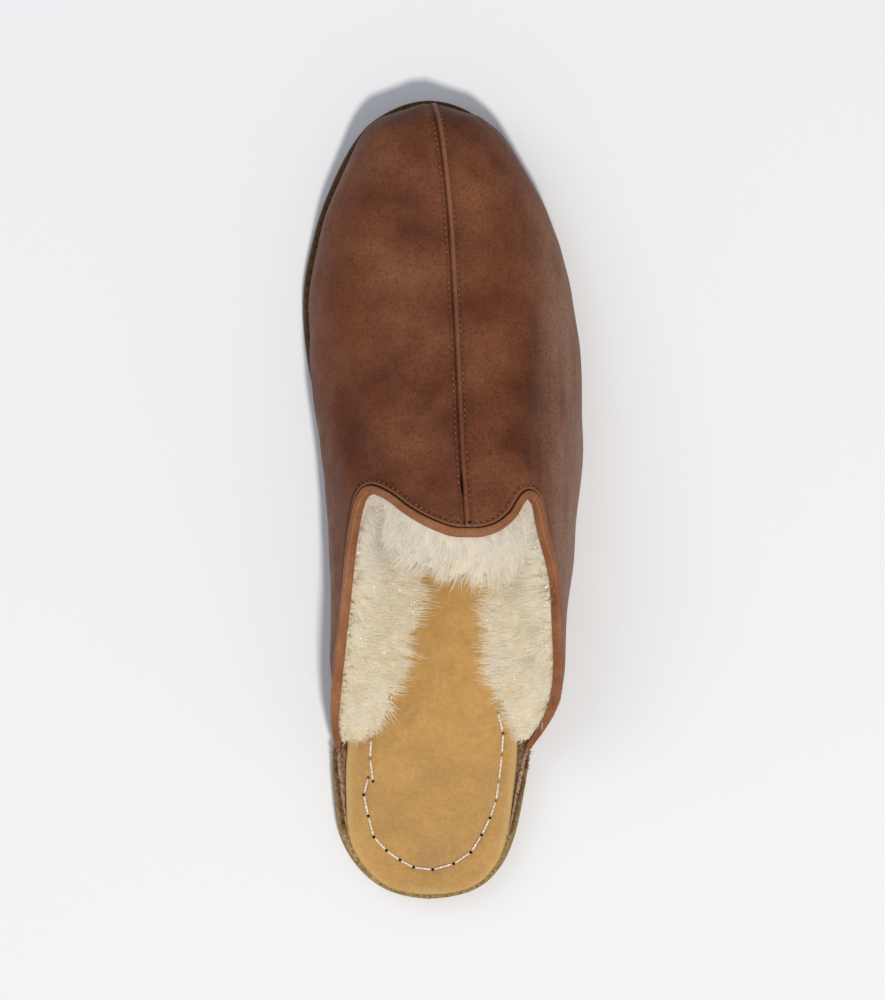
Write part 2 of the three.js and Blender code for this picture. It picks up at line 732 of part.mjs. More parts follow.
// Sections of the wool: its back on the wall, and its free face towards the foot. It is thin at
// the collar, fills out sooner under the vamp, and droops there as a brow past the binding.
function liningSections(ribs) {
  const kept = ribs.filter((rib) => collarRoom(rib) > liningLowest);
  return kept.map((rib) => {
    const down = rib[1].point.clone().sub(rib[0].point).normalize();
    const slant = Math.max(leastSlant, -down.dot(rib.past));
    const start = levelAtDepth(rib, (bindingWidth + liningSetback) / slant);
    const end = levelAtHeight(rib, woolGap, (y) => insoleTopUnder(y) + clearance);
    const roof = shareBetween(rib[0].turn, roofTurns);
    const overhead = shareBetween(rib[0].turn, browTurns);
    const back = [];
    const free = [];
    for (let i = 0; i <= liningLevels; i += 1) {
      const t = i / liningLevels;
      const level = mix(start, end, t);
      const spot = spotAt(rib, level);
      const point = insetPoint(rib, level, woolGap);
      const turn = Math.max(0, spot.turn - spotAt(rib, end).turn * t);
      const depth = mix(collarPile, 1, mix(t, t ** roofPower, roof));
      const target = openFace(spot.side, spot.station, turn);
      const reached = point.clone().lerp(target, depth);
      const brow = browReach * overhead * Math.exp(-((t / browShare) ** 2));
      reached.addScaledVector(rib.past, brow);
      reached.z -= brow * browDroop;
      reached.z = Math.max(reached.z, insoleTopUnder(reached.y) + clearance);
      back.push(point);
      free.push(reached);
    }
    return { back, free };
  });
}

// A lock of wool that grows out of the free face and hangs to a blunt tip.
function lockGeometry(root, thickness, out, drop) {
  const right = new THREE.Vector3(-out.y, out.x, 0).normalize();
  const up = new THREE.Vector3(0, 0, 1);
  const loops = lockRings.map(({ along, girth }) => {
    const centre = root.clone().addScaledVector(out, along);
    centre.addScaledVector(up, -drop * along * along);
    const radius = thickness * girth;
    const loop = [];
    for (let i = 0; i < lockSides; i += 1) {
      const angle = (2 * Math.PI * i) / lockSides;
      loop.push(centre.clone()
        .addScaledVector(right, radius * Math.cos(angle))
        .addScaledVector(up, radius * Math.sin(angle)));
    }
    loop.forEach((point) => {
      point.z = Math.max(point.z, insoleTopUnder(point.y) + clearance);
    });
    return loop;
  });
  return loft(loops);
}

function liningGeometry(ribs) {
  const sections = liningSections(ribs);
  let wool = solidOf(loft(sections.map(({ back, free }) => [...back, ...free.slice().reverse()])));
  lockTiers.forEach(({ down, count, first, last, reach, drop }) => {
    const level = Math.round(down * liningLevels);
    for (let i = 0; i < count; i += 1) {
      const place = mix(first, last, i / (count - 1));
      const section = sections[Math.round(place * (sections.length - 1))];
      const free = section.free[level];
      const back = section.back[level];
      const room = free.distanceTo(back) / 2;
      const thickness = Math.min(lockRadius, room);
      const out = free.clone().sub(back).setZ(0).normalize();
      const root = free.clone().lerp(back, Math.min(0.5, thickness / room / 2));
      out.multiplyScalar(lockLength * reach);
      wool = wool.add(solidOf(lockGeometry(root, thickness, out, lockLength * drop)));
    }
  });
  return geometryOf(wool);
}

function leather(colour, roughness) {
  return new THREE.MeshStandardMaterial({ color: colour, roughness, metalness: 0 });
}

function pieceOf(name, geometry, material) {
  geometry.computeVertexNormals();
  const mesh = new THREE.Mesh(geometry, material);
  mesh.name = name;
  return mesh;
}

const ribs = allRibs();
addNormals(ribs);

const slipper = new THREE.Group();
slipper.add(
  pieceOf("outsole", outsoleGeometry(), leather("#75603a", 0.85)),
  pieceOf("insole", insoleGeometry(), leather("#c9a468", 0.7)),
  pieceOf("upper", upperGeometry(ribs), leather("#74432f", 0.6)),
  pieceOf("collar_binding", bindingGeometry(ribs), leather("#84523a", 0.6)),
  pieceOf("shearling_lining", liningGeometry(ribs), leather("#ddd2b8", 0.95)),
);

export default slipper;
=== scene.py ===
"""Backless leather slipper for the right foot, lined with shearling.

Sizes are in millimetres, from the middle of the slipper's length and width on the floor, and are
turned to metres as each mesh is made.
"""

import math

import bpy
import numpy as np
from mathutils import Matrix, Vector


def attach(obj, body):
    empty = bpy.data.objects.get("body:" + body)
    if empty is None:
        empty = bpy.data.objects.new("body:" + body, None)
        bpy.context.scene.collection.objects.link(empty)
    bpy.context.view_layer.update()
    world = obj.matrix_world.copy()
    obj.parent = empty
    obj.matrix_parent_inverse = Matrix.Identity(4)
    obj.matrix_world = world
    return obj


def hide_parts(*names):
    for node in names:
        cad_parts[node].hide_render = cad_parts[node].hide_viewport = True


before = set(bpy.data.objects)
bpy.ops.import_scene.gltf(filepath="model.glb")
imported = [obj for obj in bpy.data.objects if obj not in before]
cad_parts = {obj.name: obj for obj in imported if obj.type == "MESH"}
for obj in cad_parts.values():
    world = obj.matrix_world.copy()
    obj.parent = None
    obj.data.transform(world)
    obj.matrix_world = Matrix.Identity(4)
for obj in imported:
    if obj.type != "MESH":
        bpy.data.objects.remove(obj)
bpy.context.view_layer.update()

MM = 0.001
UP = (0, 0, 1)

# Sizes of the slipper
LENGTH = 300
BALL_WIDTH = 105
INSTEP_HEIGHT = 68
SOLE_THICKNESS = 5.5
HEEL_LIFT = 4
ARCH_RISE = 3.5
TOE_SPRING = 9
HEEL_BREAST = 0.2
ARCH_START = 0.22
BALL_START = 0.5
TOE_BREAK = 0.76
INSOLE_THICKNESS = 2.5
INSOLE_LEDGE = 5.6
UPPER_WALL = 2.4
COLLAR_WALL = 1.5
TAIL_WALL = 0.6
SKIVE_LENGTH = 8
BULGE_HEIGHT = 16
FULL_BULGE = 10
LASTING_WIDTH = 9
LASTING_THICKNESS = 1.6
LASTING_START = 0.18
BINDING_WIDTH = 3.2
BINDING_LOWEST = 1.2
TOE_PILE = 13
TOE_PILE_POWER = 4
COLLAR_PILE = 0.16
ROOF_POWER = 0.3
ROOF_TURNS = (40, 69)
BROW_TURNS = (50, 76)
BROW_REACH = 17
BROW_SHARE = 0.22
BROW_DROOP = 0.7
LINING_LOWEST = 3.6
LINING_SETBACK = -1.5
WOOL_END = 138
CLEARANCE = 0.3
INSOLE_GAP = 1.4
WOOL_GAP = 1.15

# Plan of the sole: at is a share of the length, the edges are shares of the ball width, the
# ledges shares of the insole's ledge and the bulges shares of the full bulge.
PLAN_COLUMNS = ("at", "inner", "outer", "ledge_in", "ledge_out", "bulge_in", "bulge_out")
PLAN_ROWS = (
    (0, -0.048, -0.048, 0.32, 0.32, -0.5, -0.5),
    (0.011, -0.201, 0.115, 0.28, 0.28, -0.5, -0.5),
    (0.04, -0.306, 0.209, 0.42, 0.38, -0.5, -0.5),
    (0.078, -0.367, 0.259, 0.6, 0.52, -0.45, -0.35),
    (0.135, -0.391, 0.294, 0.84, 0.74, -0.3, -0.22),
    (0.173, -0.395, 0.31, 0.94, 0.82, -0.2, -0.1),
    (0.21, -0.388, 0.32, 1, 0.94, 0.05, 0.38),
    (0.267, -0.376, 0.338, 1.2, 1.2, 0.24, 0.94),
    (0.367, -0.366, 0.366, 1.2, 1.2, 0.34, 0.9),
    (0.467, -0.373, 0.405, 1.2, 1.2, 0.38, 0.82),
    (0.567, -0.411, 0.441, 1.2, 1.2, 0.28, 0.7),
    (0.667, -0.482, 0.461, 1.2, 1.2, -0.06, 0.45),
    (0.757, -0.5, 0.444, 1.2, 1.2, -0.2, 0.33),
    (0.833, -0.461, 0.389, 1.2, 1.2, -0.16, 0.19),
    (0.89, -0.405, 0.32, 1.2, 1.2, -0.13, 0.15),
    (0.965, -0.28, 0.177, 1.2, 1.2, -0.08, 0.08),
    (0.99, -0.174, 0.077, 1.2, 1.2, -0.05, -0.02),
    (1, -0.048, -0.048, 1.2, 1.2, -0.05, -0.05),
)

# Sections of the upper: the seam's height and place, the power of the arch, and the room that
# the wool leaves.
CREST_COLUMNS = ("at", "crest", "seam", "square", "open_in", "open_out", "open_up")
CREST_ROWS = (
    (0, 1.09, 0.06, 2.5, 0.9, 0.9, 0.8),
    (0.173, 1.09, 0.082, 2.5, 0.88, 0.88, 0.8),
    (0.2, 1.09, 0.082, 2.45, 0.78, 0.76, 0.8),
    (0.223, 1.09, 0.082, 2.4, 0.62, 0.53, 0.8),
    (0.26, 1.085, 0.082, 2.4, 0.55, 0.36, 0.78),
    (0.313, 1.08, 0.082, 2.4, 0.46, 0.28, 0.76),
    (0.4, 1.055, 0.083, 2.4, 0.4, 0.27, 0.74),
    (0.467, 1, 0.078, 2.4, 0.5, 0.4, 0.72),
    (0.567, 0.905, 0.059, 2.35, 0.65, 0.56, 0.72),
    (0.667, 0.802, 0.046, 2.3, 0.72, 0.66, 0.7),
    (0.767, 0.706, 0.032, 2.25, 0.74, 0.7, 0.68),
    (0.85, 0.625, 0.018, 2.2, 0.74, 0.72, 0.66),
    (0.905, 0.566, 0.003, 2.15, 0.74, 0.74, 0.66),
    (0.942, 0.493, -0.01, 2.1, 0.74, 0.74, 0.66),
    (0.97, 0.404, -0.023, 2.05, 0.74, 0.74, 0.66),
    (0.985, 0.316, -0.033, 2, 0.74, 0.74, 0.66),
    (0.995, 0.198, -0.041, 2, 0.74, 0.74, 0.66),
    (1, 0, -0.048, 2, 0.74, 0.74, 0.66),
)

# Collar, from the tail beside the heel to the throat: the cut edge's place and angle up the
# arch in degrees, the foot of the line down from it, and how long that line keeps its angle.
INNER_COLLAR_ROWS = (
    (0.073, 1.1, 0.073, 1),
    (0.117, 1.1, 0.117, 1),
    (0.153, 1.1, 0.153, 1),
    (0.18, 1.5, 0.18, 1),
    (0.206, 5.4, 0.21, 1),
    (0.246, 13.2, 0.257, 1),
    (0.272, 17.6, 0.29, 1),
    (0.312, 22.4, 0.34, 1),
    (0.378, 29.3, 0.417, 1),
    (0.444, 36.2, 0.49, 1),
    (0.489, 43, 0.545, 1),
    (0.507, 47.5, 0.585, 1),
    (0.5127, 52.8, 0.63, 1.05),
    (0.509, 58, 0.68, 1.2),
    (0.501, 63.3, 0.73, 1.4),
    (0.488, 69.3, 0.79, 1.8),
    (0.475, 76.7, 0.86, 2.5),
    (0.464, 84.6, 0.935, 4.2),
    (0.4615, 87.6, 0.985, 7.5),
    (0.461, 90, 1, 10),
)
OUTER_COLLAR_ROWS = (
    (0.073, 1.1, 0.073, 1),
    (0.117, 1.1, 0.117, 1),
    (0.153, 1.1, 0.153, 1),
    (0.182, 1.5, 0.18, 1),
    (0.212, 6.6, 0.21, 1),
    (0.24, 12.4, 0.245, 1),
    (0.262, 17.4, 0.275, 1),
    (0.288, 21.4, 0.31, 1),
    (0.357, 28.9, 0.39, 1),
    (0.405, 36.6, 0.45, 1),
    (0.458, 49.3, 0.51, 1),
    (0.495, 54.8, 0.57, 1),
    (0.5065, 58.4, 0.62, 1.05),
    (0.5072, 61.6, 0.67, 1.2),
    (0.5, 64.6, 0.72, 1.4),
    (0.483, 69.1, 0.78, 1.8),
    (0.469, 76, 0.85, 2.5),
    (0.4625, 82.7, 0.925, 4.2),
    (0.461, 86.8, 0.985, 7.5),
    (0.461, 90, 1, 10),
)

# Soft troughs and ridges of the leather: the two ends, the width of each, and its depth, with
# a minus sign for a ridge.
CREASE_ROWS = (
    ((-28, 12), (-40, 48), 6, 0.8),
    ((34, 14), (43, 52), 5, 0.9),
    ((39, 6), (48, 36), 4, -0.5),
    ((-34, 2), (-42, 30), 4, -0.4),
    ((1, -1), (-10, 26), 8, 0.5),
    ((13, -1), (20, 24), 7, 0.5),
    ((-44, 66), (-18, 56), 5, 0.45),
    ((46, 62), (24, 52), 5, 0.4),
    ((-36, 96), (-14, 92), 9, 0.3),
    ((34, 98), (16, 88), 8, 0.3),
    ((18, 8), (26, 30), 4, -0.25),
    ((-16, 4), (-22, 28), 4, -0.25),
    ((43, 100), (25, 134), 9, -0.9),
    ((-50, 52), (-43, -58), 7, -0.7),
)

# Patina: where it lies, how wide and long each soft cloud is, and how much lighter it is than
# the leather round it.
PATINA_ROWS = (
    (-35, 20, 8, 18, -1.2),
    (-20, 38, 12, 12, -0.3),
    (-12, 14, 11, 10, 0.45),
    (24, 22, 6, 9, -0.5),
    (17, 2, 7, 5, -0.6),
    (34, 40, 5, 40, -0.5),
    (-14, 68, 14, 16, 0.4),
    (18, 70, 10, 20, 0.35),
    (16, 24, 6, 20, 0.3),
    (-36, 82, 12, 28, 0.5),
    (-22, 116, 14, 18, 0.25),
    (-8, 88, 14, 14, 0.3),
    (24, 112, 12, 18, 0.3),
    (2, 136, 16, 8, 0.2),
    (-42, -30, 5, 40, 0.5),
)

# Raised seam: the ridge lies on the outer side, with a groove on its inner side.
RIDGE_WIDTH = 2.1
RIDGE_RISE = 0.45
RIDGE_SHIFT = 0.2
GROOVE_WIDTH = 0.32
GROOVE_DEPTH = 0.4
SLIT_PLACE = 6.5
SLIT_LENGTH = 3.4
SLIT_DEPTH = 1.5
SEAM_ROWS = (1.1, 2.7)
ROW_TROUGH = 0.25
ROW_WIDTH = 0.45
SEAM_PITCH = 2.3
SEAM_STITCH = 0.95
SEAM_GIRTH = 0.42
NEEDLE_HOLE = (1.2, 0.95)

# How much fuller the pulled toe is than the plain form, and where that begins
TOE_FULLNESS = 0.9
TOE_FULL_FROM = 126
TOE_FULL_OVER = 14

# Binding strip, and the turned edge beside it
STRIP_WIDTH = 1.8
STRIP_NEAR = 0.3
STRIP_FAR = 1.05
STRIP_TAPER = 20
STRIP_LEAST = 0.3
STRIP_FLATNESS = 0.7
TURNED_GROOVE = 2.25
TURNED_EDGE = 3.05
TURNED_WIDTH = 0.55
TURNED_RISE = 0.8
TURNED_DROP = 0.5
STITCH_LINE = 4.2
STITCH_TROUGH = 0.3
TALL_FROM = 9
TALL_OVER = 14
STITCHED_FROM = 12

# The tails' raw flesh side, which turns to finished leather between these shares of the length
RAW_FROM = 0.17
RAW_TO = 0.21

# Insole stitches, from the inner side round the heel to the outer side
STITCH_PATH = ((-26.5, -80.4), (-26.8, -89.8), (-27.2, -97), (-26.1, -105.7))
STITCH_ROUND = (
    (-27.9, -104.2), (-29.6, -110.7), (-27.9, -118.7), (-25.8, -126.6), (-21.1, -131.7),
    (-16, -135.3), (-10.9, -138), (-3.7, -138.9), (4.2, -136.7), (10.7, -132.4),
    (14.7, -125.9), (17.9, -119.4), (20.1, -112.9), (21.2, -105.7), (22.3, -95.6),
    (22.8, -87.6), (20.8, -79.7),
)
WAXED_THREAD = 0.95
THREAD_SHARE = 0.93
AWL_HOLE = 1.15

# Awl's hole: the radius and height of each ring of its lip, as shares of its width
HOLE_RINGS = ((0.5, -0.5), (0.5, 0), (0.42, 0.12), (0.25, -0.1))

# Sockets of a colour mix: how much of the second colour, and the two colours
SHARE, UNDER, OVER = 0, 6, 7

# Camera: the height that the picture takes in, and its distance
PICTURE_HEIGHT = 0.3774
CAMERA_DISTANCE = 3
SENSOR = 24

rng = np.random.default_rng(11)


# Tables and curves

def smooth(t):
    clamped = np.clip(t, 0, 1)
    return clamped * clamped * (3 - 2 * clamped)


def mix(a, b, t):
    return a + (b - a) * t


def station_of(at):
    return np.arccos(1 - 2 * np.asarray(at, float)) / np.pi


def share_of(station):
    return (1 - np.cos(np.pi * station)) / 2


def curve_through(keys, values):
    """Smooth curve through one column of a table, read at places between its keys."""
    keys = np.asarray(keys, float)
    values = np.asarray(values, float)
    order = np.arange(len(keys))
    before = np.maximum(order - 1, 0)
    after = np.minimum(order + 1, len(keys) - 1)
    slopes = (values[after] - values[before]) / (keys[after] - keys[before])

    def read(at):
        at = np.asarray(at, float)
        i = np.searchsorted(keys[1:-1], at, side="left")
        run = keys[i + 1] - keys[i]
        t = np.clip((at - keys[i]) / run, 0, 1)
        return (
            (2 * t**3 - 3 * t**2 + 1) * values[i]
            + (t**3 - 2 * t**2 + t) * run * slopes[i]
            + (3 * t**2 - 2 * t**3) * values[i + 1]
            + (t**3 - t**2) * run * slopes[i + 1]
        )

    return read


def along_sole(rows, columns, name):
    """One column of a table, as a curve along the sole."""
    table = dict(zip(columns, np.array(rows, float).T))
    return curve_through(station_of(table["at"]), table[name])


def half_of_sole(name, short, out):
    columns = {"edge": name, "ledge": "ledge_" + short, "bulge": "bulge_" + short}
    half = {key: along_sole(PLAN_ROWS, PLAN_COLUMNS, column) for key, column in columns.items()}
    return {**half, "open": along_sole(CREST_ROWS, CREST_COLUMNS, "open_" + short), "out": out}


INNER = half_of_sole("inner", "in", -1)
OUTER = half_of_sole("outer", "out", 1)
crest_share, seam_share, square_at, open_up = (
    along_sole(CREST_ROWS, CREST_COLUMNS, name) for name in ("crest", "seam", "square", "open_up")
)


def seam_x(station):
    return seam_share(station) * BALL_WIDTH


# Heights of the sole, from places along it as shares of the length

def spring_at(at):
    past = np.maximum(0, at - TOE_BREAK) / (1 - TOE_BREAK)
    return TOE_SPRING * past * past


def seat_at(at):
    lift = HEEL_LIFT * (1 - smooth((at - HEEL_BREAST) / (BALL_START - HEEL_BREAST)))
    return SOLE_THICKNESS + lift + spring_at(at)


def underside_at(at):
    breast = np.clip((at - HEEL_BREAST) / (ARCH_START - HEEL_BREAST), 0, 1)
    arch = 1 - smooth((at - ARCH_START) / (BALL_START - ARCH_START))
    return ARCH_RISE * breast * arch + spring_at(at)


def share_along(y):
    return np.clip(y / LENGTH + 0.5, 0, 1)


def seat_under(y):
    return seat_at(share_along(y))


def lasting_share(at):
    return smooth(at / LASTING_START)


def insole_underside_at(at):
    return seat_at(at) + CLEARANCE + (LASTING_THICKNESS + CLEARANCE) * lasting_share(at)


def insole_top_under(y):
    return insole_underside_at(share_along(y)) + INSOLE_THICKNESS


# Plan of the sole and arch of the upper

def plan_point(side, station):
    return np.stack([side["edge"](station) * BALL_WIDTH, (share_of(station) - 0.5) * LENGTH], -1)


def plan_edge(side, station, outwards):
    step = 0.002
    station = np.asarray(station, float)
    ahead = plan_point(side, np.minimum(1, station + step))
    along = unit(ahead - plan_point(side, np.maximum(0, station - step)))
    normal = np.stack([along[..., 1], -along[..., 0]], -1) * side["out"]
    return plan_point(side, station) + normal * np.asarray(outwards)[..., None]


def tail_share(station):
    start = INNER_COLLAR_ROWS[0][0]
    return smooth((share_of(station) - start) / (HEEL_BREAST - start))


def wall_at(station):
    return mix(TAIL_WALL, UPPER_WALL, tail_share(station))


def feather_edge(side, station):
    gap = mix(CLEARANCE, INSOLE_GAP, tail_share(station))
    return plan_edge(side, station, gap + wall_at(station) - INSOLE_LEDGE * side["ledge"](station))


def upper_edge(side, station):
    return plan_edge(side, station, FULL_BULGE * side["bulge"](station))


def other_side(side):
    return OUTER if side is INNER else INNER


def upper_face(side, station, turn):
    """Outer face of the upper, at a station and an angle up its arch."""
    outline = upper_edge(side, station)
    other = upper_edge(other_side(side), station)
    power = 2 / square_at(station)
    across = np.maximum(0, np.cos(turn)) ** power
    rise = crest_share(station) * INSTEP_HEIGHT * np.maximum(0, np.sin(turn)) ** power
    tuck = np.maximum(0, 1 - rise / BULGE_HEIGHT) ** 2
    inwards = (feather_edge(side, station) - outline) * tuck[..., None]
    x = mix(seam_x(station), outline[..., 0], across) + inwards[..., 0]
    middle = (outline[..., 1] + other[..., 1]) / 2
    y = mix(middle, outline[..., 1], across) + inwards[..., 1]
    return np.stack([x, y, seat_under(y) + CLEARANCE + rise], -1)


def open_face(side, station, turn):
    """Face that the wool leaves free for the foot."""
    outline = upper_edge(side, station)
    power = 2 / square_at(station)
    across = np.maximum(0, np.cos(turn)) ** power * side["open"](station)
    up = np.maximum(0, np.sin(turn)) ** power * open_up(station)
    x = mix(seam_x(station), outline[..., 0], across)
    y = outline[..., 1] - TOE_PILE * share_of(station) ** TOE_PILE_POWER
    base = insole_top_under(y) + CLEARANCE
    return np.stack([x, y, base + up * crest_share(station) * INSTEP_HEIGHT], -1)


def unit(vectors):
    return vectors / np.maximum(np.linalg.norm(vectors, axis=-1, keepdims=True), 1e-9)


# Meshes

def loft(loops):
    """Closed faces through loops of the same even count, with a cap at each end."""
    rows, count = loops.shape[:2]
    first = np.arange(rows - 1)[:, None] * count
    here = np.arange(count)[None, :]
    after = (here + 1) % count
    sides = np.stack([first + here, first + after, first + after + count, first + here + count], -1)
    low = np.arange((count - 2) // 2)
    cap = np.stack([low, low + 1, count - 2 - low, count - 1 - low], -1)
    faces = np.concatenate([sides.reshape(-1, 4), cap[:, ::-1], cap + (rows - 1) * count])
    points = loops.reshape(-1, 3)
    a, b, c, d = (points[faces[:, i]] for i in range(4))
    volume = np.einsum("ij,ij->", a, np.cross(b, c)) + np.einsum("ij,ij->", a, np.cross(c, d))
    return points, (faces if volume > 0 else faces[:, ::-1]).tolist()


def new_mesh(name, points, faces, marks):
    """Mesh from points in millimetres, with numbers or directions marked on every point."""
    mesh = bpy.data.meshes.new(name)
    mesh.from_pydata((points * MM).tolist(), [], faces)
    for key, values in marks.items():
        values = np.asarray(values, np.float32)
        vector = values.size == 3 * len(points)
        attribute = mesh.attributes.new(key, "FLOAT_VECTOR" if vector else "FLOAT", "POINT")
        attribute.data.foreach_set("vector" if vector else "value", values.ravel())
    return mesh


def new_object(name, data):
    made = bpy.data.objects.new(name, data)
    bpy.context.scene.collection.objects.link(made)
    return made


def make_piece(mesh, replaces=None):
    """Smooth piece on the root body, in the place of a plain solid or beside it."""
    mesh.shade_smooth()
    piece = new_object(mesh.name, mesh)
    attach(piece, "root")
    if replaces:
        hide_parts(replaces)
    return piece


def lofted(name, loops, material, replaces, marks):
    mesh = new_mesh(name, *loft(loops), marks)
    mesh.materials.append(material)
    return make_piece(mesh, replaces)


# Ribs of the upper: lines from the collar down to the sole, as one grid of stations and angles

RIBS_PER_ROW = 12
WALL_LEVELS = 118
COLLAR_LEVELS = 24
COLLAR_REACH = 9
LEVELS_PAST_COLLAR = 12
LEVELS_TO_STITCHES = 10
LEVEL_POWER = 1.25
SEAM_OFFSETS = (3, 2.7, 2.45, 2.2, 1.95, 1.7, 1.4, 1.1, 0.85, 0.6, 0.4, 0.25, 0.12, 0.03)
LAST_ROW = 18
FAR_AWAY = 99.0
RIBS_AT_ONCE = 40
TIP_FROM = 142
TIP_LOOK = (0, 0.95, 0.3)


def level_shares(reach):
    """Levels of the ribs, crowded in the first millimetres under the collar."""
    near = np.minimum(0.4, COLLAR_REACH / reach)[:, None]
    first = np.arange(COLLAR_LEVELS)[None, :] / COLLAR_LEVELS * near
    rest = np.linspace(0, 1, WALL_LEVELS - COLLAR_LEVELS + 1)[None, :]
    return np.concatenate([first, near + (1 - near) * (1 - (1 - rest) ** LEVEL_POWER)], 1)


def collar_ribs(side, rows):
    places = np.linspace(0, LAST_ROW, LAST_ROW * RIBS_PER_ROW + 1)
    at, turn, foot, hold = np.array(rows, float).T
    start, foot, turn, hold = (
        curve_through(np.arange(len(rows)), values)(places)[:, None]
        for values in (station_of(at), station_of(foot), np.radians(turn), hold)
    )

    def grid(t):
        return mix(start, foot, t), turn * (1 - t**hold)

    coarse = upper_face(side, *grid(np.linspace(0, 1, 30)[None, :]))
    reach = np.linalg.norm(np.diff(coarse, axis=1), axis=-1).sum(1)
    return grid(level_shares(reach))


def half_width(side, station):
    return np.abs(upper_edge(side, station)[..., 0] - seam_x(station))


def seam_ribs(side):
    throat = INNER_COLLAR_ROWS[-1][0]
    search = np.arange(1, 0.85, -0.0004)
    widths = half_width(side, search)
    t = level_shares(np.array([LENGTH * (1 - throat)]))[0]
    ribs = []
    for offset in SEAM_OFFSETS:
        station = mix(station_of(throat), search[np.argmax(widths >= offset)], t)
        ratio = np.minimum(1, offset / np.maximum(half_width(side, station), 1e-6))
        turn = np.arccos(ratio ** (square_at(station) / 2))
        turn[-1] = 0
        ribs.append((station, turn))
    return np.swapaxes(ribs, 0, 1)


def half_grid(side, rows):
    stations, turns = np.concatenate([collar_ribs(side, rows), seam_ribs(side)], 1)
    return stations, turns, upper_face(side, stations, turns)


inner_grid = half_grid(INNER, INNER_COLLAR_ROWS)
outer_grid = half_grid(OUTER, OUTER_COLLAR_ROWS)
stations, turns, face = (np.concatenate([one, other[::-1]]) for one, other in zip(inner_grid, outer_grid))
rib_count = len(face)
half_count = len(inner_grid[0])
HALVES = {"inner": np.arange(rib_count) < half_count, "outer": np.arange(rib_count) >= half_count}


def grid_normals(points):
    return unit(np.cross(np.gradient(points, axis=0), np.gradient(points, axis=1)))


normals = grid_normals(face)
if normals[half_count, WALL_LEVELS // 2, 2] < 0:
    normals = -normals
seam_offset = face[..., 0] - seam_x(stations)
at_tip = smooth((face[..., 1] - TIP_FROM) / 4) * (1 - smooth((np.abs(seam_offset) - 1) / 2))
normals = unit(mix(normals, np.array(TIP_LOOK), at_tip[..., None]))
edge_run = unit(np.gradient(face[:, 0], axis=0))
past = unit(np.cross(edge_run, normals[:, 0]))
past *= np.sign(np.einsum("ij,ij->i", past, face[:, 0] - face[:, 3]))[:, None]
rib_reach = np.linalg.norm(np.diff(face, axis=1), axis=-1).sum(1)


def collar_distance():
    """Distance of each point near the collar from its cut edge."""
    edge = face[:, 0]
    distances = np.full(face.shape[:2], FAR_AWAY)
    near = COLLAR_LEVELS + LEVELS_PAST_COLLAR
    for first in range(0, rib_count, RIBS_AT_ONCE):
        block = face[first:first + RIBS_AT_ONCE, :near].reshape(-1, 1, 3)
        gaps = np.linalg.norm(block - edge[None, :, :], axis=-1).min(1)
        distances[first:first + RIBS_AT_ONCE, :near] = gaps.reshape(-1, near)
    return distances


edge_distance = collar_distance()


def thickness():
    down = np.maximum(0, np.einsum("rlk,rk->rl", face[:, :1] - face, past))
    full = wall_at(stations)
    return mix(np.minimum(COLLAR_WALL, full), full, smooth(down / SKIVE_LENGTH))


wall = thickness()


def read_along(rows, wanted):
    """Values between the rows of a line, at the places that are wanted."""
    return np.stack([np.interp(wanted, np.arange(len(rows)), column) for column in rows.T], -1)


# Forms of the leather

def crease_depth(x, y):
    total = np.zeros_like(x)
    for (ax, ay), (bx, by), width, depth in CREASE_ROWS:
        run2 = (bx - ax) ** 2 + (by - ay) ** 2
        t = ((x - ax) * (bx - ax) + (y - ay) * (by - ay)) / run2
        near = np.clip(t, 0, 1)
        gap2 = (x - mix(ax, bx, near)) ** 2 + (y - mix(ay, by, near)) ** 2
        total += depth * np.exp(-gap2 / width**2)
    return total


def hand_lasted(points):
    """Soft unevenness of leather pulled over a last by hand."""
    x, y, z = points[..., 0], points[..., 1], points[..., 2]
    waves = (
        (0.2, 43, 0.6, 1.1, 0.2, 0.4),
        (0.12, 27, -0.9, 0.7, 0.4, 1.9),
        (0.06, 15, 0.8, -0.7, 0.6, 4.2),
    )
    total = np.zeros_like(x)
    for rise, size, ax, ay, az, phase in waves:
        total += rise * np.sin((ax * x + ay * y + az * z) * 2 * np.pi / size + phase)
    return total


def bump(value, middle, width):
    return np.exp(-(((value - middle) / width) ** 2))


def at_slit(y):
    return np.exp(-(((y - SLIT_PLACE) / SLIT_LENGTH) ** 4))


def seam_form(offset, y):
    groove = (GROOVE_DEPTH + SLIT_DEPTH * at_slit(y)) * bump(offset, 0, GROOVE_WIDTH)
    middle = (offset - RIDGE_SHIFT - RIDGE_WIDTH / 2) / (RIDGE_WIDTH / 2)
    ridge = RIDGE_RISE * np.sqrt(np.clip(1 - middle**2, 0, 1))
    beside = 0.22 * bump(np.abs(offset - 0.9), 3.4, 1.3)
    trough = ROW_TROUGH * (bump(offset, SEAM_ROWS[1], ROW_WIDTH) + bump(offset, -SEAM_ROWS[0], ROW_WIDTH))
    return ridge + beside - groove - trough


def collar_form(distance):
    ridge = TURNED_RISE * bump(distance, TURNED_EDGE, TURNED_WIDTH)
    groove = TURNED_DROP * bump(distance, TURNED_GROOVE, 0.4)
    trough = STITCH_TROUGH * bump(distance, STITCH_LINE, 0.5)
    beyond = 0.15 * bump(distance, STITCH_LINE + 1.3, 0.9)
    return ridge - groove - trough + beyond


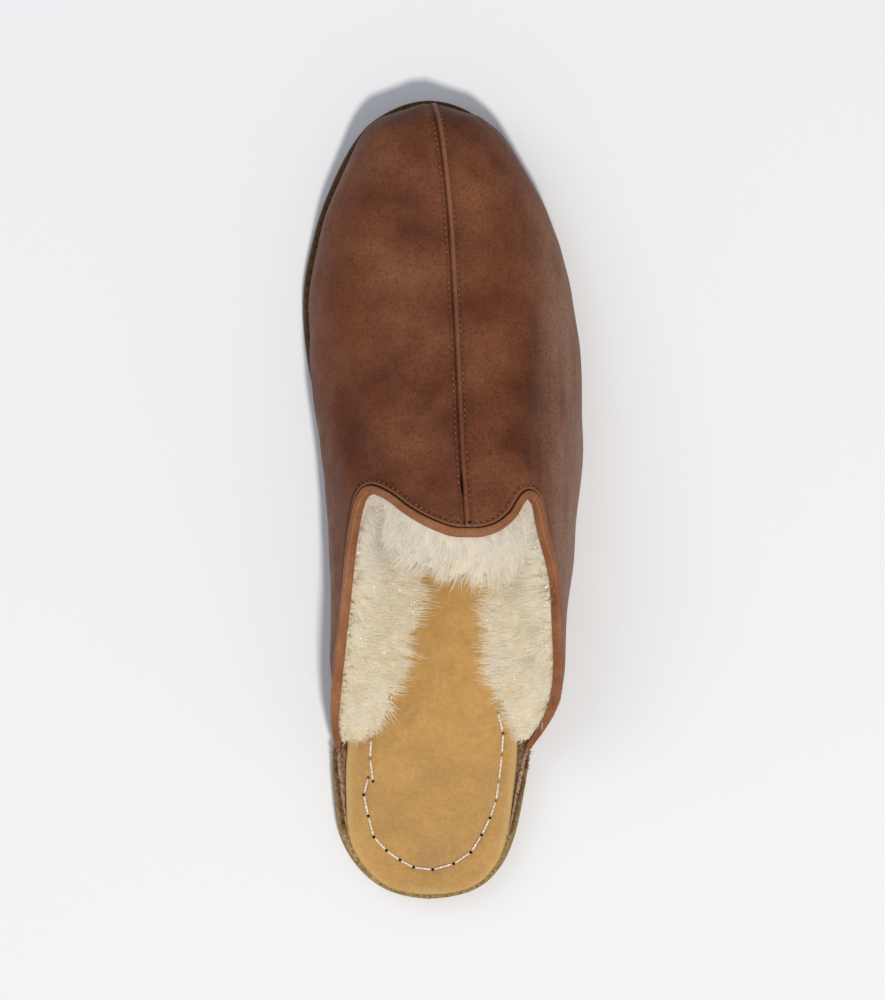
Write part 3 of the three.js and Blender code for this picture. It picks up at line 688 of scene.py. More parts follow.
def leather_rise():
    free = smooth((edge_distance - STRIP_WIDTH + 0.5) / 0.6)
    from_floor = smooth((face[..., 2] - seat_under(face[..., 1])) / 9)
    rise = -crease_depth(face[..., 0], face[..., 1]) + hand_lasted(face)
    rise = rise * from_floor * smooth(edge_distance / 14)
    to_toe = smooth((face[..., 1] - TOE_FULL_FROM) / TOE_FULL_OVER)
    rise += TOE_FULLNESS * to_toe * smooth((np.abs(seam_offset) - 2) / 6)
    rise += seam_form(seam_offset, face[..., 1]) * smooth((edge_distance - 2) / 2)
    rise += collar_form(edge_distance) * tall_ribs
    return rise * free


def leather_marks():
    """Where wear and painted highlight lighten the leather, dirt and painted shade darken it, and its
    patina.
    """
    y = face[..., 1]
    middle = RIDGE_WIDTH / 2 + RIDGE_SHIFT
    on_seam = smooth((edge_distance - 2) / 2)
    to_toe = smooth((y - 20) / 120)
    # Lighter on the seam's ridge, round the upper's foot and on the collar's turned edge: wear, and
    # painted highlight on these raised edges.
    rubbed = bump(seam_offset, middle + 0.2, 0.7) * mix(0.35, 0.9, to_toe) * on_seam
    foot = 1 - smooth((face[..., 2] - seat_under(y) - CLEARANCE) / 1.8)
    rubbed += 0.9 * foot * to_toe
    rubbed += 1.1 * bump(edge_distance, TURNED_EDGE + 0.1, 0.5) * tall_ribs
    # Darker in the seam's groove and stitch rows, the collar's groove and stitch line, and the slit: dirt,
    # and painted shade in these recesses.
    grimed = (0.8 * bump(seam_offset, 0, 0.34) + 0.45 * bump(seam_offset, SEAM_ROWS[1], 0.45)) * on_seam
    grimed += 0.45 * bump(seam_offset, -SEAM_ROWS[0], 0.4) * on_seam
    grimed += 0.9 * bump(edge_distance, TURNED_GROOVE, 0.35) * tall_ribs
    grimed += 0.55 * bump(edge_distance, STITCH_LINE, 0.5) * tall_ribs
    grimed += 1.2 * at_slit(y) * bump(seam_offset, 0, 0.4)
    patina = np.zeros_like(y)
    for x0, y0, wide, long, light in PATINA_ROWS:
        patina += light * bump(face[..., 0], x0, wide) * bump(y, y0, long)
    return {"rubbed": rubbed, "grimed": grimed, "patina": patina}


tall_ribs = smooth((rib_reach - TALL_FROM) / TALL_OVER)[:, None]
leather = face + normals * leather_rise()[..., None]


def upper_loops(inside_levels=22):
    """Closed sections of the upper: its face, the margin under the insole, and its inside."""
    foot = face[:, -1]
    foot_normal = unit(normals[:, -1] * np.array([1, 1, 0]))
    share = lasting_share(share_along(foot[:, 1]))
    reach = wall_at(stations[:, -1]) + LASTING_WIDTH * share
    underneath = foot - foot_normal * reach[:, None]
    underneath[:, 2] = seat_under(underneath[:, 1]) + CLEARANCE
    above = underneath.copy()
    above[:, 2] += LASTING_THICKNESS * share
    lining_face = face - normals * wall[..., None]
    margin_top = seat_under(lining_face[..., 1]) + CLEARANCE + LASTING_THICKNESS * share[:, None]
    inside = []
    for r in range(rib_count):
        clear = lining_face[r, :, 2] - margin_top[r]
        end = int(np.argmax(clear <= 0)) if (clear <= 0).any() else WALL_LEVELS
        inside.append(read_along(lining_face[r], np.linspace(max(end, 1), 0, inside_levels)))
    return np.concatenate([leather, underneath[:, None], above[:, None], inside], 1)


# Binding: a strip folded over the collar

def collar_room():
    edge = face[:, 0] - normals[:, 0] * wall[:, :1]
    return edge[:, 2] - insole_top_under(edge[:, 1]) - CLEARANCE


def strip_taper(room):
    return mix(STRIP_LEAST, 1, smooth((room - BINDING_LOWEST) / STRIP_TAPER))


def level_at(rib, distance):
    """Level on a rib at a distance from the collar's edge."""
    rising = np.maximum.accumulate(edge_distance[rib, :COLLAR_LEVELS + LEVELS_TO_STITCHES])
    return np.interp(distance, rising, np.arange(len(rising)))


def between_levels(grid, rib, level):
    low = int(level)
    return mix(grid[rib, low], grid[rib, low + 1], level - low)


def along_rib(distance):
    """Points and normals of the ribs at a distance from the collar's edge."""
    levels = [level_at(r, distance) for r in range(rib_count)]
    points, looks = (
        np.array([between_levels(grid, r, level) for r, level in enumerate(levels)])
        for grid in (leather, normals)
    )
    return points, unit(looks)


def binding_loops():
    """Closed sections of the folded strip, thinner where the collar dives to the sole, and how much
    wear and painted highlight lighten each line along it."""
    room = collar_room()
    bound = room > BINDING_LOWEST
    depth = np.minimum(STRIP_WIDTH * strip_taper(room), room - CLEARANCE)
    top = face[:, 0]
    out = normals[:, 0]
    feet = np.array([between_levels(face, r, level_at(r, depth[r])) for r in range(rib_count)])
    foot = top - past * depth[:, None] * 0.98
    foot = foot + out * np.einsum("ij,ij->i", feet - foot, out)[:, None]
    taper = strip_taper(room)[:, None]
    near = STRIP_NEAR * taper
    far = STRIP_FAR * taper
    wall_top = wall[:, :1]
    half = wall_top / 2
    along = np.arange(rib_count)[:, None]
    pucker = (0.06 * np.sin(along * 1.7) + 0.05 * np.sin(along * 0.61)) * taper
    middle = (foot + top) / 2

    def place(base, side_out, beyond):
        return base + out * side_out + past * beyond

    def over_edge(angle, thick):
        across = math.copysign(abs(math.cos(angle)) ** STRIP_FLATNESS, math.cos(angle))
        return place(top, -half + (half + thick) * across, thick * math.sin(angle) ** STRIP_FLATNESS)

    lines = [
        (place(foot, near + 0.05, -0.1), 0),
        (place(foot, mix(near, far, 0.6), -0.22 * taper), 0.3),
        (place(foot, far - 0.05, 0.12), 0.55),
        (place(mix(foot, top, 0.25), far + 0.08 + pucker, 0), 0.3),
        (place(middle, far + 0.12 + pucker, 0), 0.15),
        (place(mix(foot, top, 0.75), far + 0.08 + pucker, 0), 0.25),
    ]
    for degrees in np.linspace(8, 172, 13):
        # The strip is paler on the two shoulders of its fold: wear, and painted highlight on the rounded
        # edge.
        rubbed = 0.5 * bump(degrees, 35, 18) + 0.9 * bump(degrees, 150, 16)
        lines.append((over_edge(math.radians(degrees), far), rubbed))
    lines += [
        (place(middle, -wall_top - far - 0.08, 0), 0.2),
        (place(foot, -wall_top - far + 0.05, 0), 0),
        (place(foot, -wall_top - near - 0.05, -0.1), 0),
    ]
    lines += [(over_edge(math.radians(degrees), near), 0) for degrees in np.linspace(172, 8, 6)]
    loops = np.stack([line for line, rubbed in lines], 1)[bound]
    return loops, np.tile([rubbed for line, rubbed in lines], (len(loops), 1))


# Sole and insole

def sole_stations(steps):
    return mix(0.25 / steps, 1 - 0.25 / steps, np.linspace(0, 1, steps + 1))


def closed_sections(rows):
    """Sections through rows, each given by an edge, how far it lies beside it, and its height."""
    lines = [np.stack([edge[:, 0] + beside, edge[:, 1], height], -1) for edge, beside, height in rows]
    return np.stack(lines, 1)


def outsole_loops(steps=300, sheets=7):
    """Closed sections of the sole, with the uneven cut edge of thick leather."""
    station = sole_stations(steps)
    inner = plan_point(INNER, station)
    outer = plan_point(OUTER, station)
    narrow = np.minimum(0.8, (outer[:, 0] - inner[:, 0]) / 4)

    def side(edge, way):
        """Rows from the underside up the cut side, and over the top."""
        bottom = underside_at(share_along(edge[:, 1]))
        top = seat_at(share_along(edge[:, 1]))
        rows = [(edge, way * narrow * 1.3, bottom)]
        for share in np.linspace(0, 1, sheets):
            inset = 0.75 * (1 - math.sin(math.pi * share**0.8)) ** 3
            rows.append((edge, way * (inset * narrow + 0.05), mix(bottom + 0.15, top - 0.15, share)))
        return rows + [(edge, way * narrow * 1.3, top), (edge, way * narrow * 4, top)]

    outer_side = side(outer, -1)
    return closed_sections(outer_side[1:] + side(inner, 1)[::-1] + outer_side[:1])


def stitch_groove(x, y):
    depth = np.zeros_like(x)
    for path in (STITCH_PATH, STITCH_ROUND):
        points = np.array(path, float)
        for a, b in zip(points[:-1], points[1:]):
            run = b - a
            t = np.clip(((x - a[0]) * run[0] + (y - a[1]) * run[1]) / (run @ run), 0, 1)
            gap2 = (x - a[0] - run[0] * t) ** 2 + (y - a[1] - run[1] * t) ** 2
            depth = np.maximum(depth, np.exp(-gap2 / 1.1))
    return depth


def insole_surface(x, y):
    """Height of the insole's top over its flat form: the seat of the heel and the groove."""
    heel = np.exp(-(((x + 4) / 20) ** 2 + ((y + 112) / 26) ** 2))
    waves = 0.1 * np.sin(x / 6.1 + y / 13) + 0.08 * np.sin(x / 9.7 - y / 5.9 + 1)
    return -0.5 * heel + waves - 0.4 * stitch_groove(x, y)


def insole_loops(steps=230, across=72):
    station = sole_stations(steps)
    inner, outer = (
        plan_edge(side, station, -INSOLE_LEDGE * side["ledge"](station)) for side in (INNER, OUTER)
    )
    narrow = np.minimum(0.5, (outer[:, 0] - inner[:, 0]) / 6)
    lip = ((0.1, 0.4), (0.35, 0.05), (0.65, 0), (0.88, 0.25))

    def height_on(edge, share):
        return insole_underside_at(share_along(edge[:, 1])) + INSOLE_THICKNESS * share

    rows = [(outer, -inset * narrow, height_on(outer, share)) for share, inset in lip]
    for t in np.linspace(0, 1, across):
        x = mix(outer[:, 0] - narrow, inner[:, 0] + narrow, t)
        y = mix(outer[:, 1], inner[:, 1], t)
        fall = smooth(np.minimum(x - inner[:, 0], outer[:, 0] - x) / 3)
        rows.append((np.stack([x, y], -1), 0, insole_top_under(y) + insole_surface(x, y) * fall))
    rows += [(inner, inset * narrow, height_on(inner, share)) for share, inset in lip[::-1]]
    rows += [(inner, narrow, height_on(inner, 0)), (outer, -narrow, height_on(outer, 0))]
    return closed_sections(rows)


def insole_rim(loops):
    """How near each point is to the cut edge, from nought to one."""
    x, y = loops[..., 0], loops[..., 1]
    inside = np.minimum(x - x.min(1, keepdims=True), x.max(1, keepdims=True) - x)
    return bump(np.minimum(inside, y - y.min()), 0, 2.4)


# Wool

WOOL_LEVELS = 44
CROWN_LEVELS = 9
CROWN_RISE = 2.2
CROWN_PILE = 8
COAT_OUT = 0.35
COAT_UP = 0.9


def wool_sections(stride=3):
    """Back and free face of the wool on every third rib."""
    room = collar_room()
    kept = np.arange(rib_count)[room > LINING_LOWEST][::stride]
    backs = []
    frees = []
    for r in kept:
        side = INNER if r < half_count else OUTER
        rib_wall = face[r] - normals[r] * (wall[r] + WOOL_GAP)[:, None]
        start = level_at(r, (BINDING_WIDTH + LINING_SETBACK) * strip_taper(room[r]))
        clear = rib_wall[:, 2] - insole_top_under(rib_wall[:, 1]) - CLEARANCE
        end = int(np.argmax(clear <= 0)) - 1 if (clear <= 0).any() else WALL_LEVELS
        end = max(end, start + 2)
        t = np.linspace(0, 1, WOOL_LEVELS)
        wanted = mix(start, end, t)
        point = read_along(rib_wall, wanted)
        station, turn = read_along(np.stack([stations[r], turns[r]], -1), wanted).T
        first_turn = np.degrees(turns[r, 0])
        roof = smooth((first_turn - ROOF_TURNS[0]) / (ROOF_TURNS[1] - ROOF_TURNS[0]))
        overhead = smooth((first_turn - BROW_TURNS[0]) / (BROW_TURNS[1] - BROW_TURNS[0]))
        free_turn = np.maximum(0, turn - turn[-1] * t)
        depth = mix(COLLAR_PILE, 1, mix(t, t**ROOF_POWER, roof))[:, None]
        reached = mix(point, open_face(side, station, free_turn), depth)
        brow = BROW_REACH * overhead * np.exp(-((t / BROW_SHARE) ** 2))
        reached = reached + past[r] * brow[:, None]
        reached[:, 2] -= brow * BROW_DROOP
        reached[:, 2] = np.maximum(reached[:, 2], insole_top_under(reached[:, 1]) + CLEARANCE)
        s = np.linspace(0.08, 0.94, CROWN_LEVELS)[:, None]
        crown = mix(point[0], reached[0], s)
        pile = np.minimum(1, np.linalg.norm(reached[0] - point[0]) / CROWN_PILE)
        crown[:, 2] += CROWN_RISE * np.sin(np.pi * s[:, 0]) * pile
        for line in (point, reached):
            line[:, 1] = np.minimum(line[:, 1], WOOL_END)
        backs.append(point)
        frees.append(np.concatenate([crown, reached]))
    return kept, np.array(backs), np.array(frees)


wool_ribs, wool_backs, wool_frees = wool_sections()
wool_out = grid_normals(wool_frees)
if (wool_out[:, CROWN_LEVELS + 6:] * (wool_frees[:, CROWN_LEVELS + 6:] - wool_backs[:, 6:])).sum() < 0:
    wool_out = -wool_out
wool_out[:, :CROWN_LEVELS] = unit(past[wool_ribs] * 0.4 + [0, 0, 0.8])[:, None]
wool_down = unit(np.gradient(wool_frees, axis=1))


def fleece_rise(points):
    """Tufts of the fleece under its locks."""
    x, y, z = points[..., 0], points[..., 1], points[..., 2]
    tufts = np.sin(x * 0.9 + 1.3 * np.sin(z * 0.5)) * np.sin(y * 0.7 + 1.1 * np.sin(x * 0.4))
    curls = np.sin(z * 1.3 + y * 0.5) * np.sin(y * 1.7 + x * 0.8)
    return 0.55 * tufts + 0.25 * curls - 0.6


def wool_loops():
    bumpy = wool_frees + wool_out * fleece_rise(wool_frees)[..., None]
    bumpy[..., 2] = np.maximum(bumpy[..., 2], insole_top_under(bumpy[..., 1]) + CLEARANCE)
    backs = wool_backs[:, ::-1] if (WOOL_LEVELS + len(bumpy[0])) % 2 == 0 else wool_backs[:, :0:-1]
    return np.concatenate([bumpy, backs], 1)


# Pieces with marks of their own

def make_upper():
    loops = upper_loops()
    hidden = loops.shape[1] - WALL_LEVELS - 1
    marks = {name: np.pad(values, ((0, 0), (0, hidden))) for name, values in leather_marks().items()}
    marks["raw"] = 1 - smooth((share_along(loops[..., 1]) - RAW_FROM) / (RAW_TO - RAW_FROM))
    lofted("upper_leather", loops, waxed_pull_up_leather(), "upper", marks)


def make_fleece():
    loops = wool_loops()
    coat = np.tile([0.0, 0, 1], (*loops.shape[:2], 1))
    free = wool_frees.shape[1]
    coat[:, :free] = unit(wool_out * COAT_OUT + coat[:, :free] * COAT_UP)
    wool = shearling_wool("shearling_fleece", False)
    fleece = lofted("shearling_fleece", loops, wool, "shearling_lining", {"coat": coat})
    fleece.visible_shadow = False


# What repeats: a pattern set on many points

SETTING_SEED = 5


def add(tree, kind, settings=()):
    """Adds a node with its settings. A socket or another node among them is linked, a node by
    the first output that it has in use."""
    node = tree.nodes.new(kind)
    for name, value in dict(settings).items():
        if isinstance(value, bpy.types.Node):
            value = next(output for output in value.outputs if output.enabled)
        if name == "stops":
            ramp = node.color_ramp
            while len(ramp.elements) < len(value):
                ramp.elements.new(0.5)
            for element, (place, colour) in zip(ramp.elements, value):
                element.position = place
                element.color = linear(colour)
        elif isinstance(value, bpy.types.NodeSocket):
            tree.links.new(value, node.inputs[name])
        elif isinstance(name, str) and hasattr(node, name):
            setattr(node, name, value)
        else:
            node.inputs[name].default_value = value
    return node


def setting_tree():
    """Sets a template on every point, along its forward and upward marks."""
    tree = bpy.data.node_groups.new("set_on_points", "GeometryNodeTree")
    sockets = {"Points": "Geometry", "Template": "Object", "Thickness": "Float", "Spread": "Float",
               "Seed": "Int", "Material": "Material"}
    for name, kind in sockets.items():
        tree.interface.new_socket(name, in_out="INPUT", socket_type="NodeSocket" + kind)
    tree.interface.new_socket("Set", in_out="OUTPUT", socket_type="NodeSocketGeometry")
    given = add(tree, "NodeGroupInput").outputs
    forward, upward, size = (
        add(tree, "GeometryNodeInputNamedAttribute", {"data_type": kind, "Name": name})
        for name, kind in (("forward", "FLOAT_VECTOR"), ("upward", "FLOAT_VECTOR"), ("size", "FLOAT"))
    )
    turn = add(tree, "FunctionNodeAxesToRotation",
               {"primary_axis": "X", "secondary_axis": "Z", 0: forward, 1: upward})
    least, most = (
        add(tree, "ShaderNodeMath", {"operation": operation, 0: 1.0, 1: given["Spread"]})
        for operation in ("SUBTRACT", "ADD")
    )
    spread = add(tree, "FunctionNodeRandomValue",
                 {"data_type": "FLOAT", 2: least, 3: most, 8: given["Seed"]})
    across = add(tree, "ShaderNodeMath", {"operation": "MULTIPLY", 0: given["Thickness"], 1: spread})
    scale = add(tree, "ShaderNodeCombineXYZ", {"X": size, "Y": across, "Z": across})
    template = add(tree, "GeometryNodeObjectInfo", {"Object": given["Template"]}).outputs["Geometry"]
    placed = add(tree, "GeometryNodeInstanceOnPoints",
                 {"Points": given["Points"], "Instance": template, "Rotation": turn, "Scale": scale})
    real = add(tree, "GeometryNodeRealizeInstances", {"Geometry": placed})
    dressed = add(tree, "GeometryNodeSetMaterial", {"Geometry": real, "Material": given["Material"]})
    add(tree, "NodeGroupOutput", {"Set": dressed})
    return tree


def set_on_points(name, template, points, forward, upward, size, thickness, spread, material, slot,
                  coat=None):
    """One plain mesh of a template set on many points, in millimetres."""
    marks = {
        "forward": np.broadcast_to(forward, points.shape),
        "upward": np.broadcast_to(upward, points.shape),
        "size": np.broadcast_to(size, len(points)),
    }
    passing = tuple(marks)
    if coat is not None:
        marks["coat"] = coat
    carrier = new_object(name + "_points", new_mesh(name + "_points", points, [], marks))
    modifier = carrier.modifiers.new("set", "NODES")
    modifier.node_group = SETTING
    wanted = {"Template": template, "Thickness": thickness, "Spread": spread, "Seed": SETTING_SEED,
              "Material": material}
    for item in SETTING.interface.items_tree:
        if item.in_out == "INPUT" and item.name in wanted:
            modifier[item.identifier] = wanted[item.name]
    bpy.context.view_layer.update()
    graph = bpy.context.evaluated_depsgraph_get()
    mesh = bpy.data.meshes.new_from_object(carrier.evaluated_get(graph))
    mesh.name = name
    bpy.data.objects.remove(carrier)
    for key in passing:
        if key in mesh.attributes:
            mesh.attributes.remove(mesh.attributes[key])
    return make_piece(mesh)


def template_object(name, points, faces):
    """Hidden pattern, one millimetre long along X, with how near each point is to its tip."""
    return bpy.data.objects.new(name, new_mesh(name, points, faces, {"tip": np.clip(points[:, 0], 0, 1)}))


def circle(sides):
    angles = np.arange(sides) * 2 * np.pi / sides
    return np.stack([np.zeros(sides), np.cos(angles), np.sin(angles)], -1)


def tube(rings):
    """Points and faces through rings of one count, closed by a flat face at each end."""
    count, sides = rings.shape[:2]
    faces = []
    for first in range(0, (count - 1) * sides, sides):
        for j in range(sides):
            k = (j + 1) % sides
            faces.append((first + j, first + k, first + sides + k, first + sides + j))
    faces += [tuple(range(sides))[::-1], tuple(range((count - 1) * sides, count * sides))]
    return rings.reshape(-1, 3), faces


def twisted(strands, sides):
    """Points and faces of some strands, each from its middle line and its girth along it."""
    points, faces = [], []
    for centres, girths in strands:
        strand_points, strand_faces = tube(centres[:, None] + circle(sides) * girths[:, None, None])
        before = len(strand_points) * len(points)
        points.append(strand_points)
        faces += [tuple(before + index for index in one) for one in strand_faces]
    return np.concatenate(points), faces


def lock_template(count=5, steps=4):
    """One lock of wool: tapering strands that wave together and part at the tip."""
    strands = []
    draws = np.random.default_rng(3)
    t = np.linspace(0, 1, steps)
    for i in range(count):
        angle = 2 * np.pi * i / count
        spread = mix(0.8, 2.6, t) * (0.3 + 0.7 * draws.random())
        wave = 0.35 * np.sin(2 * np.pi * (0.7 * t + 0.12 * i))
        curl = 0.4 * np.cos(2 * np.pi * 1.1 * t + i)
        sag = -1.2 * t**2
        centres = np.stack([
            t * (0.55 + 0.5 * draws.random()),
            spread * math.cos(angle) + wave,
            spread * math.sin(angle) * 0.7 + curl + sag,
        ], -1)
        strands.append((centres, mix(0.26, 0.05, t**1.2)))
    return twisted(strands, 3)


def thread_template(turns_of_ply=2.5, steps=10, radius=0.24, dip=0.9):
    """Two plies of waxed thread twisted round each other, whose ends dip into their holes."""
    strands = []
    t = np.linspace(0, 1, steps)
    fall = -dip * (np.abs(2 * t - 1) ** 5)
    girth = 0.29 * np.minimum(1, 0.5 + 4 * np.minimum(t, 1 - t))
    for ply in range(2):
        angle = 2 * np.pi * turns_of_ply * t + np.pi * ply
        centres = np.stack([t - 0.5, radius * np.cos(angle), radius * np.sin(angle) + fall], -1)
        strands.append((centres, girth))
    return twisted(strands, 5)


def hole_template(sides=10):
    """Shallow cup of an awl's hole, which its material paints dark as the shade of a deep hole."""
    flat = np.roll(circle(sides), -1, -1)
    return tube(np.stack([flat * radius + [0, 0, height] for radius, height in HOLE_RINGS]))


def resample(points, pitch):
    """Places at an even pitch along a line, with the direction there and the index behind."""
    lengths = np.linalg.norm(np.diff(points, axis=0), axis=1)
    total = np.concatenate([[0], np.cumsum(lengths)])
    places = np.arange(pitch / 2, total[-1], pitch)
    spots, ahead, behind = (
        np.stack([np.interp(places + step, total, points[:, k]) for k in range(3)], -1)
        for step in (0, 0.5, -0.5)
    )
    return spots, unit(ahead - behind), np.interp(places, total, np.arange(len(points)))


# Materials

def linear(colour):
    """Linear colour of an sRGB hex value."""
    parts = [int(colour[i:i + 2], 16) / 255 for i in (1, 3, 5)]
    return (*[c / 12.92 if c <= 0.04045 else ((c + 0.055) / 1.055) ** 2.4 for c in parts], 1)


def per_mm(size):
    """Scale of a pattern whose marks are that many millimetres apart."""
    return 1 / (size * MM)


def new_material(name):
    """An empty material, its tree, and the place on the slipper that its patterns read."""
    material = bpy.data.materials.new(name)
    material.use_nodes = True
    tree = material.node_tree
    tree.nodes.clear()
    return material, tree, add(tree, "ShaderNodeTexCoord").outputs["Object"]


def shaded(material, settings):
    """The material, with a shader of those settings and of what feeds them."""
    shader = add(material.node_tree, "ShaderNodeBsdfPrincipled", settings)
    add(material.node_tree, "ShaderNodeOutputMaterial", {"Surface": shader})
    return material


def waxed_pull_up_leather():
    """Pull-up leather, waxed and buffed by hand: cloudy red-brown patina, greyer bands on the outer
    flank that are a painted reflection of the pale floor, lighter edges by wear and painted
    highlight, darker grooves by dirt and painted shade, over fine pores, and dry raw fibres at
    the tails."""
    material, tree, place = new_material("waxed_pull_up_leather")
    patina, rubbed, grimed, raw = (
        add(tree, "ShaderNodeAttribute", {"attribute_name": name}).outputs["Fac"]
        for name in ("patina", "rubbed", "grimed", "raw")
    )
    drawn = add(tree, "ShaderNodeMapping", {"Scale": (1, 0.1, 0.25), "Vector": place})
    clouds, worn, bands, grain, fibres, wrinkles = (
        add(tree, "ShaderNodeTexNoise",
            {"Scale": per_mm(size), "Detail": detail, "Roughness": rough, "Vector": where})
        for size, detail, rough, where in (
            (26, 4, 0.5, place), (8, 7, 0.72, place), (6, 4, 0.6, drawn), (1.1, 4, 0.7, place),
            (1, 6, 0.75, place), (4, 5, 0.6, place),
        )
    )
    pores = add(tree, "ShaderNodeTexVoronoi", {"Scale": per_mm(0.9), "Randomness": 1, "Vector": place})
    placed = add(tree, "ShaderNodeMath", {"operation": "MULTIPLY_ADD", 0: patina, 1: 0.17, 2: clouds})
    tones, wearing, specks, flesh = (
        add(tree, "ShaderNodeValToRGB", {"stops": stops, "Fac": pattern})
        for pattern, stops in (
            (placed, ((0.2, "#4a2110"), (0.38, "#62341d"), (0.5, "#72432a"), (0.63, "#7e4f33"),
                      (0.8, "#8a5b3d"))),
            (worn, ((0.35, "#ffffff"), (0.5, "#e4d3c6"), (0.68, "#b59a84"))),
            (grain, ((0.32, "#bfaea2"), (0.44, "#ede7e3"), (0.6, "#ffffff"))),
            (fibres, ((0.36, "#5a432e"), (0.48, "#937459"), (0.62, "#c0a588"))),
        )
    )
    across = add(tree, "ShaderNodeSeparateXYZ", {0: place}).outputs["X"]
    flank, inner_flank = (
        add(tree, "ShaderNodeMapRange", {"interpolation_type": "SMOOTHSTEP", "From Min": start,
                                         "From Max": end, "To Max": most, "Value": across})
        for start, end, most in ((0.026, 0.05, 1.0), (-0.022, -0.046, 0.55))
    )
    reflection_bands = add(tree, "ShaderNodeMapRange",
                 {"From Min": 0.35, "From Max": 0.62, "To Min": 0.4, "To Max": 0.95, "Value": bands})
    flank_reflection = add(tree, "ShaderNodeMath", {"operation": "MULTIPLY", 0: flank, 1: reflection_bands})
    raised, sunken = (
        add(tree, "ShaderNodeMath", {"operation": "MULTIPLY", "use_clamp": True, 0: marked, 1: share})
        for marked, share in ((rubbed, 0.6), (grimed, 0.72))
    )
    look = tones
    layers = (
        ("MULTIPLY", 0.34, wearing),
        # Painted reflection of the pale floor on the outer flank, seen at a grazing angle
        ("MIX", flank_reflection, linear("#946f59")),
        ("MIX", inner_flank, linear("#703a1a")),
        ("MULTIPLY", 1.0, specks),
        # Raised edges paler: wear, and painted highlight.
        ("MIX", raised, linear("#96674a")),
        # Painted shade, with dirt, in the grooves, stitch rows and slit.
        ("MIX", sunken, linear("#1e0d06")),
        ("MIX", raw, flesh),
    )
    for blend, share, over in layers:
        look = add(tree, "ShaderNodeMix",
                   {"data_type": "RGBA", "blend_type": blend, SHARE: share, UNDER: look, OVER: over})
    gloss = add(tree, "ShaderNodeMapRange",
                {"From Min": 0.3, "From Max": 0.7, "To Min": 0.46, "To Max": 0.68, "Value": worn})
    fine = add(tree, "ShaderNodeBump", {"Strength": 0.22, "Distance": 0.0002, "Height": pores})
    soft = add(tree, "ShaderNodeBump",
               {"Strength": 0.25, "Distance": 0.0006, "Height": wrinkles, "Normal": fine})
    return shaded(material, {"Specular IOR Level": 0.2, "Base Color": look, "Roughness": gloss,
                             "Normal": soft})


def skived_binding_leather():
    """Thin goat strip, skived and folded: lighter than the vamp, with paler tops from wear and painted
    highlight.
    """
    material, tree, place = new_material("skived_binding_leather")
    clouds = add(tree, "ShaderNodeTexNoise",
                 {"Scale": per_mm(14), "Detail": 5, "Roughness": 0.6, "Vector": place})
    grain = add(tree, "ShaderNodeTexNoise", {"Scale": per_mm(0.8), "Detail": 4, "Vector": place})
    colours = add(tree, "ShaderNodeValToRGB",
                  {"stops": ((0.3, "#794527"), (0.5, "#8d5837"), (0.7, "#9f6b46")), "Fac": clouds})
    rubbed = add(tree, "ShaderNodeAttribute", {"attribute_name": "rubbed"}).outputs["Fac"]
    # Paler tops of the fold: wear, and painted highlight.
    edges = add(tree, "ShaderNodeMath", {"operation": "MULTIPLY", "use_clamp": True, 0: rubbed, 1: 0.6})
    paler = add(tree, "ShaderNodeMix",
                {"data_type": "RGBA", SHARE: edges, UNDER: colours, OVER: linear("#b07c54")})
    specks = add(tree, "ShaderNodeMapRange",
                 {"From Min": 0.3, "From Max": 0.7, "To Min": 0.78, "To Max": 1.12, "Value": grain})
    tinted = add(tree, "ShaderNodeMix",
                 {"data_type": "RGBA", "blend_type": "MULTIPLY", SHARE: 1.0, UNDER: paler, OVER: specks})
    gloss = add(tree, "ShaderNodeMapRange", {"To Min": 0.5, "To Max": 0.7, "Value": clouds})
    pitted = add(tree, "ShaderNodeBump", {"Strength": 0.25, "Distance": 0.0003, "Height": grain})
    return shaded(material, {"Specular IOR Level": 0.28, "Base Color": tinted, "Roughness": gloss,
                             "Normal": pitted})


def vegetable_tanned_insole():
    """Undyed vegetable-tanned leather: even golden tan, burnished, with faint clouds, pores and
    pale scuffed scratches, and a paler rim."""
    material, tree, place = new_material("vegetable_tanned_insole")
    clouds, pores = (
        add(tree, "ShaderNodeTexNoise",
            {"Scale": per_mm(size), "Detail": detail, "Roughness": rough, "Vector": place})
        for size, detail, rough in ((24, 4, 0.6), (1.5, 5, 0.7))
    )
    stops = ((0.3, "#a37a3e"), (0.48, "#b18647"), (0.62, "#bd9251"), (0.8, "#a98042"))
    look = add(tree, "ShaderNodeValToRGB", {"stops": stops, "Fac": clouds})
    specks = add(tree, "ShaderNodeMapRange",
                 {"From Min": 0.34, "From Max": 0.66, "To Min": 0.9, "To Max": 1.09, "Value": pores})
    drawn = add(tree, "ShaderNodeMapping",
                {"Rotation": (0, 0, 0.35), "Scale": (1, 0.08, 1), "Vector": place})
    scratches = add(tree, "ShaderNodeTexNoise", {"Scale": per_mm(1.6), "Detail": 3, "Vector": drawn})
    scuffs = add(tree, "ShaderNodeMapRange",
                 {"From Min": 0.6, "From Max": 0.74, "To Max": 0.16, "Value": scratches})
    rim = add(tree, "ShaderNodeAttribute", {"attribute_name": "rim"}).outputs["Fac"]
    pale = add(tree, "ShaderNodeMath", {"operation": "MULTIPLY", 0: rim, 1: 0.55})
    layers = (
        ("MULTIPLY", 1.0, specks), ("MIX", scuffs, linear("#cfa768")), ("MIX", pale, linear("#cdab70")),
    )
    for blend, share, over in layers:
        look = add(tree, "ShaderNodeMix",
                   {"data_type": "RGBA", "blend_type": blend, SHARE: share, UNDER: look, OVER: over})
    gloss = add(tree, "ShaderNodeMapRange",
                {"From Min": 0.3, "From Max": 0.7, "To Min": 0.5, "To Max": 0.68, "Value": clouds})
    pitted = add(tree, "ShaderNodeBump", {"Strength": 0.3, "Distance": 0.0003, "Height": pores})
    return shaded(material, {"Specular IOR Level": 0.35, "Base Color": look, "Roughness": gloss,
                             "Normal": pitted})


